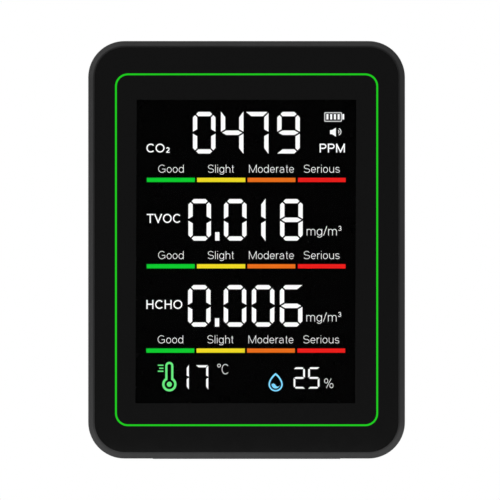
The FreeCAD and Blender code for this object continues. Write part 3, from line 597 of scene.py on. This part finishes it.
def segment(which, lit_segments, width, height, stroke, sharp_top_right):
    """One segment's outline, cut off beside a lit neighbour and pointed at a free end."""
    gap = CORNER_GAP * stroke
    cut_off = CORNER_CUT * stroke
    mid = height / 2

    def mirrored(points, flip_x, flip_z):
        """The same points flipped across the figure's middle, either way or both."""
        return [(width - x if flip_x else x, height - z if flip_z else z) for x, z in points]

    if which == "g":
        tip, shoulder, half = BAR_TIP * stroke, BAR_SHOULDER * stroke, BAR_HALF * stroke
        return [
            (tip, mid), (shoulder, mid - half), (width - shoulder, mid - half),
            (width - tip, mid), (width - shoulder, mid + half), (shoulder, mid + half),
        ]
    if which in "ad":
        sides = ("f", "b") if which == "a" else ("e", "c")
        ends = []
        for side in sides:
            joined = side in lit_segments
            soft = joined and not (sharp_top_right and side == "b")
            outer = [(cut_off, height), ((cut_off + gap) / 2, height - (cut_off - gap) / 2)]
            corner = outer if soft else [(gap * joined, height)]
            ends.append(corner + [(gap + stroke, height - stroke)])
        left = ends[0]
        right = mirrored(ends[1], True, False)
        if which == "a" and lit_segments == SEGMENTS["2"]:
            left = [(gap + stroke, height), (gap, height - stroke)]
        return mirrored(left + right[::-1], False, which == "d")
    end = "a" if which in "bf" else "d"
    joined = end in lit_segments
    soft = joined and not (sharp_top_right and which == "b")
    outer = [(0, height - cut_off), ((cut_off - gap) / 2, height - (cut_off + gap) / 2)]
    point = [(0, height - gap if joined else height + FREE_POINT * stroke)]
    top = (outer if soft else point) + [(stroke, height - gap - stroke)]
    foot = [(stroke, mid + FOOT_INNER * stroke), (0, mid + FOOT_OUTER * stroke)]
    return mirrored(top + foot, which in "bc", which in "ce")


def figure(character, x, z, width, height, stroke):
    """The outlines of one figure with its lower left corner at (x, z)."""
    shown = SEGMENTS[character]
    outlines = [segment(s, shown, width, height, stroke, character == "7") for s in shown]
    return [[(x + px, z + pz) for px, pz in outline] for outline in outlines]


# ---------------------------------------------------------------- lettering
# Each letter: width, space before, space after, strokes. Along the pen's centre capitals are 1 high
# and small letters 0.69. A stroke is either the two ends of a straight line or one arc, given as
# (centre x, centre z, radius x, radius z, start, end).
STRAIGHT, ROUND, OPEN = 0.10, 0.06, 0.03
LETTERS = {
    "C": (0.78, ROUND, OPEN, [[(0.42, 0.5, 0.42, 0.5, 42, 318)]]),
    "O": (0.88, ROUND, ROUND, [[(0.44, 0.5, 0.44, 0.5, 0, 360)]]),
    "G": (0.80, ROUND, STRAIGHT, [[(0.42, 0.5, 0.42, 0.5, 45, 320)], [(0.79, 0.12), (0.79, 0.46)],
                                  [(0.79, 0.46), (0.46, 0.46)]]),
    "P": (0.66, STRAIGHT, OPEN, [[(0, 0), (0, 1)], [(0, 1), (0.38, 1)],
                                 [(0.38, 0.735, 0.27, 0.265, 90, -90)], [(0.38, 0.47), (0, 0.47)]]),
    "M": (0.88, STRAIGHT, STRAIGHT, [[(0, 0), (0, 1)], [(0, 1), (0.44, 0)], [(0.44, 0), (0.88, 1)],
                                     [(0.88, 1), (0.88, 0)]]),
    "T": (0.66, OPEN, OPEN, [[(0, 1), (0.66, 1)], [(0.33, 1), (0.33, 0)]]),
    "V": (0.76, OPEN, OPEN, [[(0, 1), (0.38, 0)], [(0.38, 0), (0.76, 1)]]),
    "H": (0.66, STRAIGHT, STRAIGHT, [[(0, 0), (0, 1)], [(0.66, 0), (0.66, 1)],
                                     [(0, 0.53), (0.66, 0.53)]]),
    "S": (0.71, ROUND, ROUND, [[(0.355, 0.745, 0.32, 0.255, 22, 270)],
                               [(0.355, 0.245, 0.355, 0.245, 90, -158)]]),
    "2": (0.60, ROUND, ROUND, [[(0.30, 0.71, 0.28, 0.29, 165, -35)], [(0.53, 0.54), (0.03, 0.02)],
                               [(0.02, 0), (0.60, 0)]]),
    "3": (0.54, ROUND, ROUND, [[(0.26, 0.75, 0.24, 0.25, 155, -90)],
                               [(0.26, 0.25, 0.28, 0.25, 90, -158)]]),
    "%": (1.00, ROUND, ROUND, [[(0.20, 0.76, 0.19, 0.24, 0, 360)],
                               [(0.80, 0.24, 0.19, 0.24, 0, 360)], [(0.24, 0.0), (0.76, 1.0)]]),
    "/": (0.34, OPEN, OPEN, [[(0, 0), (0.34, 1)]]),
    "o": (0.53, ROUND, ROUND, [[(0.265, 0.345, 0.265, 0.345, 0, 360)]]),
    "d": (0.54, ROUND, STRAIGHT, [[(0.27, 0.345, 0.27, 0.345, 0, 360)], [(0.54, 0), (0.54, 1)]]),
    "g": (0.54, ROUND, STRAIGHT, [[(0.27, 0.345, 0.27, 0.345, 0, 360)],
                                  [(0.54, 0.69), (0.54, -0.04)],
                                  [(0.27, -0.04, 0.27, 0.2, 0, -150)]]),
    "l": (0.0, STRAIGHT, STRAIGHT, [[(0, 0), (0, 1)]]),
    "i": (0.0, STRAIGHT, STRAIGHT, [[(0, 0), (0, 0.69)], [(0, 0.98), (0, 1)]]),
    "h": (0.50, STRAIGHT, STRAIGHT, [[(0, 0), (0, 1)], [(0.25, 0.42, 0.25, 0.27, 180, 0)],
                                     [(0.50, 0.42), (0.50, 0)]]),
    "t": (0.23, ROUND, ROUND, [[(0.10, 0.92), (0.10, 0.13)], [(0.22, 0.13, 0.12, 0.13, 180, 280)],
                               [(0.03, 0.69), (0.20, 0.69)]]),
    "e": (0.53, ROUND, ROUND, [[(0.265, 0.345, 0.265, 0.345, 0, 322)],
                               [(0.04, 0.345), (0.49, 0.345)]]),
    "r": (0.27, STRAIGHT, OPEN, [[(0, 0), (0, 0.69)], [(0.22, 0.42, 0.22, 0.27, 180, 75)]]),
    "a": (0.54, ROUND, STRAIGHT, [[(0.26, 0.46, 0.23, 0.23, 160, 0)], [(0.49, 0.46), (0.49, 0.02)],
                                  [(0.23, 0.19, 0.23, 0.19, 80, 315)],
                                  [(0.26, 0.385), (0.47, 0.42)]]),
    "u": (0.50, STRAIGHT, STRAIGHT, [[(0, 0.69), (0, 0.27)], [(0.25, 0.27, 0.25, 0.27, 180, 360)],
                                     [(0.50, 0.69), (0.50, 0)]]),
    "s": (0.47, ROUND, ROUND, [[(0.235, 0.515, 0.215, 0.175, 25, 270)],
                               [(0.235, 0.17, 0.235, 0.17, 90, -155)]]),
    "m": (0.90, STRAIGHT, STRAIGHT, [[(0, 0), (0, 0.69)], [(0.225, 0.45, 0.225, 0.24, 180, 0)],
                                     [(0.45, 0.45), (0.45, 0)], [(0.675, 0.45, 0.225, 0.24, 180, 0)],
                                     [(0.90, 0.45), (0.90, 0)]]),
}


def lettering(word, left, right, baseline, height, weight):
    """The strokes of a word fitted between left and right, with capitals of the given height."""
    letters = [LETTERS[c] for c in word]
    pen = height - weight
    spaces = [after + before for (_, _, after, _), (_, before, _, _) in zip(letters, letters[1:])]
    natural = sum(width for width, _, _, _ in letters) * pen + sum(spaces) * height
    stretch = (right - left - weight * len(letters)) / natural
    strokes = []
    x = left + weight / 2
    for index, (width, _, _, parts) in enumerate(letters):
        for part in parts:
            strokes.append(pen_stroke(part, x, baseline + weight / 2, pen * stretch, pen, weight))
        x += width * pen * stretch + weight
        if index < len(spaces):
            x += spaces[index] * height * stretch
    return strokes


def pen_stroke(part, x, z, across, up, weight):
    """One stroke in millimetres. Straight runs reach half the pen's width past their ends."""
    is_arc = len(part[0]) == 6
    points = [(x + px * across, z + pz * up) for px, pz in (arc(*part[0]) if is_arc else part)]
    if is_arc:
        return points
    (x0, z0), (x1, z1) = points
    length = math.hypot(x1 - x0, z1 - z0)
    reach_x = (x1 - x0) / length * weight / 2
    reach_z = (z1 - z0) / length * weight / 2
    return [(x0 - reach_x, z0 - reach_z), (x1 + reach_x, z1 + reach_z)]


# ---------------------------------------------------------------- places on the display
ART_THICK = 0.04 * MM
PRINT_THICK = 0.02 * MM
ART_Y = (WINDOW_HIGH.y + FILM_FRONT) / 2  # between the window's back and the film's front
ART_SHIFT = 0.09 * MM  # how far right of the housing's middle the display lies

# From here on in millimetres: x from the display's middle, z from the housing's lower edge.
WINDOW_CORNER = 3.04
WINDOW_INSET = 0.01
OPENING = ((-30.96, 15.36), (30.03, 15.36), (30.37, 99.67), (-30.62, 99.67))
# Each row of figures: their lower edge, their left edges, and those of the decimal points.
ROWS = {
    "co2": {"z": 84.74, "starts": (-15.0, -7.22, -0.26, 8.43), "points": ()},
    "tvoc": {"z": 60.54, "starts": (-16.26, -6.37, -1.09, 9.23), "points": (-8.83,)},
    "hcho": {"z": 36.64, "starts": (-16.36, -6.44, 1.37, 9.16), "points": (-8.89,)},
}
DECIMAL_WIDE, DECIMAL_HIGH = 1.2, 2.35
# Small figures also have their own size: width, height and stroke.
SMALL_FIGURES = {
    "warmth": {"z": 19.26, "starts": (-19.52, -14.12), "size": (3.4, 6.67, 0.6)},
    "damp": {"z": 19.43, "starts": (12.96, 17.01), "size": (3.17, 5.94, 0.51)},
}
# Each row of bars: its shift to the right, and its lower edge.
BAR_ROWS = ((0.03, 76.81), (0.0, 52.82), (-0.12, 29.4))
BAR_ENDS = ((-27.84, -14.5), (-13.87, -0.47), (0.17, 13.45), (14.17, 27.42))
WORD_ENDS = ((-24.65, -17.6), (-10.9, -3.62), (0.57, 13.05), (15.75, 25.75))
WORD_RISE, WORD_HIGH, WORD_PEN = 2.6, 2.23, 0.145
# Each label: letters, left end, right end, baseline, height.
LABEL_PEN = 0.35
LABELS = {
    "label_co2": ("CO", -27.93, -22.87, 85.03, 2.47),
    "label_ppm": ("PPM", 20.2, 27.22, 85.02, 2.47),
    "label_tvoc": ("TVOC", -27.82, -18.36, 65.45, 2.53),
    "label_hcho": ("HCHO", -27.93, -17.93, 41.56, 2.5),
}
# Each sign also has the weight that its letter is fitted for.
LOWER_PEN = 0.27
LOWER_TWO = ("2", -22.47, -21.46, 84.95, 1.55, 0.26)
SIGN_PEN = 0.15
CELSIUS = ("C", -7.0, -5.07, 23.43, 2.82, 0.16)
PERCENT = ("%", 21.45, 24.05, 19.57, 2.68, 0.15)
DEGREE_X, DEGREE_Z, DEGREE_RADIUS = -7.74, 25.82, 0.42
# Each unit: its shift to the right, and its baseline. Each part of one: letters, left end, right
# end, rise over the baseline, height.
UNIT_PEN = 0.17
UNIT_ROWS = ((-0.13, 61.98), (-0.2, 38.06))
UNIT_PARTS = (("mg/m", 16.75, 25.1, 0.0, 2.55), ("3", 25.5, 26.4, 1.3, 1.35))


def add_art(name, obj, material):
    """Makes drawn work one lit piece behind the window."""
    to_mesh(obj, ART_THICK)
    stand_up(obj, ART_Y)
    settle(obj, name, HOUSING, material)


# ---------------------------------------------------------------- operators
class MONITOR_OT_finish(bpy.types.Operator):
    """Gives every moulding, board and fastener its finish"""

    bl_idname = "monitor.finish"
    bl_label = "Finish the mouldings"

    def execute(self, context):
        finishes = finish_table()
        slots = {part["node"]: part["material_slot"] for part in frame["record"]["subparts"]}
        for name, obj in frame["nodes"].items():
            obj.data.materials[0] = finishes[slots[name]]
        return {"FINISHED"}


class MONITOR_OT_mask(bpy.types.Operator):
    """Prints the black surround on the display window"""

    bl_idname = "monitor.mask"
    bl_label = "Window print"

    def execute(self, context):
        material = frame["nodes"]["bezel_plate"].active_material
        half = (WINDOW_HIGH.x - WINDOW_LOW.x) / MM / 2 - WINDOW_INSET
        low = (WINDOW_LOW.z - BOTTOM_Z) / MM + WINDOW_INSET
        high = (WINDOW_HIGH.z - BOTTOM_Z) / MM - WINDOW_INSET
        shift = ART_SHIFT / MM
        outer = soft_rectangle(-half - shift, low, half - shift, high, WINDOW_CORNER)
        obj = flat_work("window_print", [outer, OPENING])
        to_mesh(obj, PRINT_THICK)
        stand_up(obj, WINDOW_LOW.y - PRINT_THICK / 2)
        settle(obj, "window_print", HOUSING, material)
        return {"FINISHED"}


class MONITOR_OT_figures(bpy.types.Operator):
    """Lights the large and small segment figures"""

    bl_idname = "monitor.figures"
    bl_label = "Segment figures"

    def execute(self, context):
        display = context.scene.monitor_display
        readings = context.scene.monitor_readings
        material = lit("figure_white", display.white, display.glow)
        size = [v / MM for v in (display.figure_width, display.figure_height, display.stroke)]
        for row, spec in ROWS.items():
            z = spec["z"]
            outlines = []
            for character, x in zip(getattr(readings, row).replace(".", ""), spec["starts"]):
                outlines += figure(character, x, z, *size)
            for x in spec["points"]:
                outlines.append(rectangle(x, z, x + DECIMAL_WIDE, z + DECIMAL_HIGH))
            add_art(f"figures_{row}", flat_work(row, outlines), material)
        for name, spec in SMALL_FIGURES.items():
            outlines = []
            for character, x in zip(getattr(readings, name), spec["starts"]):
                outlines += figure(character, x, spec["z"], *spec["size"])
            add_art(f"figures_{name}", flat_work(name, outlines), material)
        return {"FINISHED"}


class MONITOR_OT_words(bpy.types.Operator):
    """Lights the labels, units and level words"""

    bl_idname = "monitor.words"
    bl_label = "Labels and words"

    def execute(self, context):
        display = context.scene.monitor_display
        bold = lit("label_white", display.label, display.glow)
        plain = lit("word_grey", display.words, display.glow)
        for name, label in LABELS.items():
            add_art(name, line_work(name, lettering(*label, LABEL_PEN), LABEL_PEN), bold)
        add_art("label_co2_lower", line_work("lower", lettering(*LOWER_TWO), LOWER_PEN), bold)
        strokes = []
        for shift, baseline in UNIT_ROWS:
            for letters, left, right, rise, height in UNIT_PARTS:
                strokes += lettering(letters, left + shift, right + shift, baseline + rise, height,
                                     UNIT_PEN)
        add_art("unit_words", line_work("units", strokes, UNIT_PEN), plain)
        strokes = lettering(*CELSIUS)
        strokes.append(arc(DEGREE_X, DEGREE_Z, DEGREE_RADIUS, DEGREE_RADIUS, 0, 360))
        strokes += lettering(*PERCENT)
        add_art("unit_signs", line_work("signs", strokes, SIGN_PEN), plain)
        strokes = []
        words = context.scene.monitor_readings.levels.split()
        for shift, foot in BAR_ROWS:
            for word, (left, right) in zip(words, WORD_ENDS):
                strokes += lettering(word, left + shift, right + shift, foot + WORD_RISE,
                                     WORD_HIGH, WORD_PEN)
        add_art("level_words", line_work("levels", strokes, WORD_PEN), plain)
        return {"FINISHED"}


class MONITOR_OT_bars(bpy.types.Operator):
    """Lights the three rows of four coloured level bars"""

    bl_idname = "monitor.bars"
    bl_label = "Level bars"

    def execute(self, context):
        display = context.scene.monitor_display
        tall = display.bar_height / MM
        for colour, (left, right) in zip(("good", "slight", "moderate", "serious"), BAR_ENDS):
            material = lit(f"bar_{colour}", getattr(display, colour), display.glow)
            outlines = [rectangle(left + x, foot, right + x, foot + tall) for x, foot in BAR_ROWS]
            add_art(f"bars_{colour}", flat_work(colour, outlines), material)
        return {"FINISHED"}


# The numbers in the icons are places on the display, in millimetres.
CASE_SHADE = 0.75
WAVE_PEN = 0.19


def battery_icon():
    """A case one line wide, and its four bars with the nub at its end."""
    low, high, half = 94.2, 95.7, 0.28
    case = [
        soft_rectangle(21.52, 93.58, 26.36, 96.2, 0.2),
        soft_rectangle(21.76, 93.82, 26.12, 95.96, 0.1),
    ]
    bars = [rectangle(x - half, low, x + half, high) for x in (22.36, 23.41, 24.46, 25.49)]
    return case, bars + [rectangle(26.5, low, 27.02, high)]


def speaker_icon():
    """A horn's outline, and two waves for the pen."""
    body = [
        (23.1, 90.12), (23.66, 90.12), (24.72, 89.42), (24.72, 91.92), (23.66, 91.25), (23.1, 91.25),
    ]
    waves = [arc(25.15, 90.8, r, r, -turn, turn) for r, turn in ((0.45, 62), (1.0, 66))]
    return body, waves


def thermometer_icon():
    """A stem on a ball, one line wide, with a bulb inside and three ticks beside it."""
    x, head_z, bulb_z = -21.55, 25.74, 20.63

    def keyhole(half, radius):
        """A straight stem with a round head, standing on a ball."""
        turn = math.degrees(math.asin(half / radius))
        head = arc(x, head_z, half, half, 0, 180)
        ball = arc(x, bulb_z, radius, radius, 90 + turn, 450 - turn, 30)
        return head + ball

    tick_right, tick_half = -23.2, 0.17
    ticks = [
        rectangle(left, z - tick_half, tick_right, z + tick_half)
        for left, z in ((-24.75, 25.92), (-24.35, 25.08), (-24.75, 24.26))
    ]
    return [keyhole(1.13, 1.99), keyhole(0.52, 1.34), circle(x, bulb_z, 0.71)] + ticks


def drop_icon():
    """A drop one line wide, with a pool inside whose top is a wave."""
    x, z, radius, apex, line = 7.98, 20.62, 1.98, 3.15, 0.42

    def drop(r, tip):
        """A half circle drawn out to a point above it by two full sides."""
        steps, swell, waist = 14, 1.7, 0.85
        rise = [i / steps for i in range(1, steps)]
        side = [(r * (1 - t ** swell) ** waist, tip * t) for t in rise]
        right = [(x + px, z + pz) for px, pz in side[::-1]]
        left = [(x - px, z + pz) for px, pz in side]
        return [(x, z + tip)] + right + arc(x, z, r, r, 0, -180, 20) + left

    wave = [
        (1.12, -0.3), (0.75, -0.62), (0.35, -0.62), (0.05, -0.35), (-0.2, 0.05), (-0.6, 0.25),
        (-0.95, 0.1),
    ]
    pool = arc(x, z, 1.15, 1.15, 175, 342, 16) + [(x + px, z + pz) for px, pz in wave]
    return [drop(radius, apex), drop(radius - line, apex - 1.5 * line), pool]


class MONITOR_OT_icons(bpy.types.Operator):
    """Lights the battery, speaker, thermometer and drop icons"""

    bl_idname = "monitor.icons"
    bl_label = "Icons"

    def execute(self, context):
        display = context.scene.monitor_display
        white = lit("icon_white", display.white, display.glow)
        case, bars = battery_icon()
        plain = lit("icon_grey", shade(display.words, CASE_SHADE), display.glow)
        add_art("icon_battery_case", flat_work("battery", case), plain)
        add_art("icon_battery_bars", flat_work("bars", bars), white)
        body, waves = speaker_icon()
        add_art("icon_speaker", flat_work("speaker", [body]), white)
        add_art("icon_speaker_waves", line_work("waves", waves, WAVE_PEN), white)
        add_art("icon_thermometer", flat_work("thermometer", thermometer_icon()),
                lit("icon_green", display.warmth, display.glow))
        add_art("icon_drop", flat_work("drop", drop_icon()),
                lit("icon_blue", display.damp, display.glow))
        return {"FINISHED"}


# The pen and its strokes on each key, in millimetres from the key's middle.
KEY_PEN = 0.2
KEY_PRINT_RISE = 0.008 * MM  # the print's middle over the key's top
KEY_PRINTS = {
    "power": [arc(0, 0, 0.85, 0.85, 60, -240), [(0, 0.25), (0, 1.05)]],
    "mute": [
        [(-1.1, 0.3), (-0.7, 0.3), (-0.1, 0.85), (-0.1, -0.85), (-0.7, -0.3), (-1.1, -0.3),
         (-1.1, 0.3)],
        [(0.4, 0.45), (1.2, -0.45)], [(0.4, -0.45), (1.2, 0.45)],
    ],
    "unit": [
        [(-1.0, 0.35), (1.0, 0.35)], [(1.0, 0.35), (0.5, 0.8)],
        [(1.0, -0.35), (-1.0, -0.35)], [(-1.0, -0.35), (-0.5, -0.8)],
    ],
}


class MONITOR_OT_key_prints(bpy.types.Operator):
    """Prints an icon on each top key"""

    bl_idname = "monitor.key_prints"
    bl_label = "Key prints"

    def execute(self, context):
        material = moulded("key_print", (0.42, 0.42, 0.42), 0.5, grain=0.1 * MM, depth=0.002 * MM,
                           vary=0.06)
        for key, strokes in KEY_PRINTS.items():
            low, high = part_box(f"{key}_button")
            obj = line_work(key, strokes, KEY_PEN)
            to_mesh(obj, PRINT_THICK)
            obj.location = (
                (low.x + high.x) / 2, (low.y + high.y) / 2, high.z + KEY_PRINT_RISE,
            )
            settle(obj, f"{key}_key_print", f"{key}_key", material)
        return {"FINISHED"}


FLOOR_SIZE = 2.4
FLOOR_MOTTLE = 0.01
POOL_NEAR, POOL_FAR = 0.02, 0.25
POOL_EDGE = 0.05
# Where the dark front wall passes into the bright room, as a direction's part along y.
WALL_DARK, WALL_BRIGHT = -0.85, 0.1
# The left of the room is brighter than the right, by a direction's part along x.
SIDE_REACH = 0.9
LEFT_LIGHT, RIGHT_LIGHT = 1.12, 0.6
CAMERA_AWAY = 0.6


class MONITOR_OT_stage(bpy.types.Operator):
    """Sets the floor, the room's light and the camera"""

    bl_idname = "monitor.stage"
    bl_label = "Studio"

    def execute(self, context):
        stage = context.scene.monitor_stage
        add_floor(stage)
        add_room(context.scene, stage)
        add_camera(context.scene, stage)
        context.scene.view_settings.view_transform = "Standard"
        return {"FINISHED"}


def add_floor(stage):
    """Pale paper. For light, though not for the camera, it is brighter near the object."""
    deselect()
    bpy.ops.mesh.primitive_plane_add(size=FLOOR_SIZE, location=(0.0, 0.0, 0.0))
    floor = bpy.context.object
    floor.name = "floor"
    material, tree, shader = new_material("floor_paper")
    mottle = tint(tree, noise(tree, 30 * MM), shade(stage.floor, 1 - FLOOR_MOTTLE),
                  shade(stage.floor, 1 + FLOOR_MOTTLE))
    tree.links.new(mottle, shader.inputs["Base Color"])
    shader.inputs["Roughness"].default_value = 0.8
    shader.inputs["Emission Color"].default_value = WHITE
    far = node(tree, "ShaderNodeVectorMath", operation="LENGTH")
    tree.links.new(place(tree), far.inputs[0])
    pool = node(tree, "ShaderNodeMapRange", interpolation_type="SMOOTHSTEP", From_Min=POOL_NEAR,
                From_Max=POOL_FAR, To_Min=stage.floor_pool, To_Max=POOL_EDGE)
    tree.links.new(far.outputs["Value"], pool.inputs["Value"])
    seen = node(tree, "ShaderNodeLightPath").outputs["Is Camera Ray"]
    glow = node(tree, "ShaderNodeMix", data_type="FLOAT")
    tree.links.new(seen, glow.inputs[0])
    tree.links.new(pool.outputs["Result"], glow.inputs[2])
    glow.inputs[3].default_value = stage.floor_glow
    tree.links.new(glow.outputs[0], shader.inputs["Emission Strength"])
    floor.data.materials.append(material)


def add_room(scene, stage):
    """White for the camera. For light: bright beside, behind and above, dark in front."""
    world = bpy.data.worlds.new("studio")
    scene.world = world
    world.use_nodes = True
    tree = world.node_tree
    tree.nodes.clear()
    direction = node(tree, "ShaderNodeTexCoord").outputs["Generated"]
    split = node(tree, "ShaderNodeSeparateXYZ")
    tree.links.new(direction, split.inputs[0])
    depth = node(tree, "ShaderNodeMapRange", interpolation_type="SMOOTHSTEP", From_Min=WALL_DARK,
                 From_Max=WALL_BRIGHT, To_Min=stage.front_fill, To_Max=stage.surround)
    tree.links.new(split.outputs["Y"], depth.inputs["Value"])
    side = node(tree, "ShaderNodeMapRange", From_Min=-SIDE_REACH, From_Max=SIDE_REACH,
                To_Min=LEFT_LIGHT, To_Max=RIGHT_LIGHT)
    tree.links.new(split.outputs["X"], side.inputs["Value"])
    level = node(tree, "ShaderNodeMath", operation="MULTIPLY")
    tree.links.new(depth.outputs["Result"], level.inputs[0])
    tree.links.new(side.outputs["Result"], level.inputs[1])
    room = node(tree, "ShaderNodeBackground", Color=WHITE)
    tree.links.new(level.outputs[0], room.inputs["Strength"])
    white = node(tree, "ShaderNodeBackground", Color=WHITE, Strength=1.0)
    seen = node(tree, "ShaderNodeLightPath").outputs["Is Camera Ray"]
    mix = node(tree, "ShaderNodeMixShader")
    tree.links.new(seen, mix.inputs["Fac"])
    tree.links.new(room.outputs[0], mix.inputs[1])
    tree.links.new(white.outputs[0], mix.inputs[2])
    out = node(tree, "ShaderNodeOutputWorld")
    tree.links.new(mix.outputs[0], out.inputs["Surface"])


def add_camera(scene, stage):
    """Square on to the display, without perspective."""
    camera = bpy.data.objects.new("camera", bpy.data.cameras.new("camera"))
    scene.collection.objects.link(camera)
    camera.data.type = "ORTHO"
    camera.data.ortho_scale = WIDTH / stage.width_share
    camera.location = (
        CENTRE_X + stage.shift_right, CAD_BOX[0].y - CAMERA_AWAY, MIDDLE_Z - stage.shift_down,
    )
    camera.rotation_euler = UPRIGHT
    scene.camera = camera


class MONITOR_PT_panel(bpy.types.Panel):
    """Lists the pieces that can be built again"""

    bl_idname = "MONITOR_PT_panel"
    bl_label = "Air Quality Monitor"
    bl_space_type = "VIEW_3D"
    bl_region_type = "UI"
    bl_category = "Monitor"

    def draw(self, context):
        layout = self.layout
        for operator in OPERATORS:
            layout.operator(operator.bl_idname)
        for group in ("monitor_readings", "monitor_display", "monitor_finish", "monitor_stage"):
            settings = getattr(context.scene, group)
            box = layout.box()
            for key in settings.__annotations__:
                box.prop(settings, key)


OPERATORS = (
    MONITOR_OT_finish, MONITOR_OT_mask, MONITOR_OT_figures, MONITOR_OT_words, MONITOR_OT_bars,
    MONITOR_OT_icons, MONITOR_OT_key_prints, MONITOR_OT_stage,
)
GROUPS = {
    "monitor_readings": MonitorReadings,
    "monitor_display": MonitorDisplay,
    "monitor_finish": MonitorFinish,
    "monitor_stage": MonitorStage,
}


def register():
    """Adds the settings, the operators and the panel."""
    for name, group in GROUPS.items():
        bpy.utils.register_class(group)
        setattr(bpy.types.Scene, name, PointerProperty(type=group))
    for operator in OPERATORS:
        bpy.utils.register_class(operator)
    bpy.utils.register_class(MONITOR_PT_panel)


def unregister():
    """Takes away what register added."""
    bpy.utils.unregister_class(MONITOR_PT_panel)
    for operator in reversed(OPERATORS):
        bpy.utils.unregister_class(operator)
    for name, group in reversed(GROUPS.items()):
        delattr(bpy.types.Scene, name)
        bpy.utils.unregister_class(group)


def main():
    """Builds the whole monitor."""
    register()
    deselect()
    bpy.ops.monitor.finish()
    bpy.ops.monitor.mask()
    bpy.ops.monitor.figures()
    bpy.ops.monitor.words()
    bpy.ops.monitor.bars()
    bpy.ops.monitor.icons()
    bpy.ops.monitor.key_prints()
    bpy.ops.monitor.stage()
    bpy.context.view_layer.update()


if __name__ == "__main__":
    main()
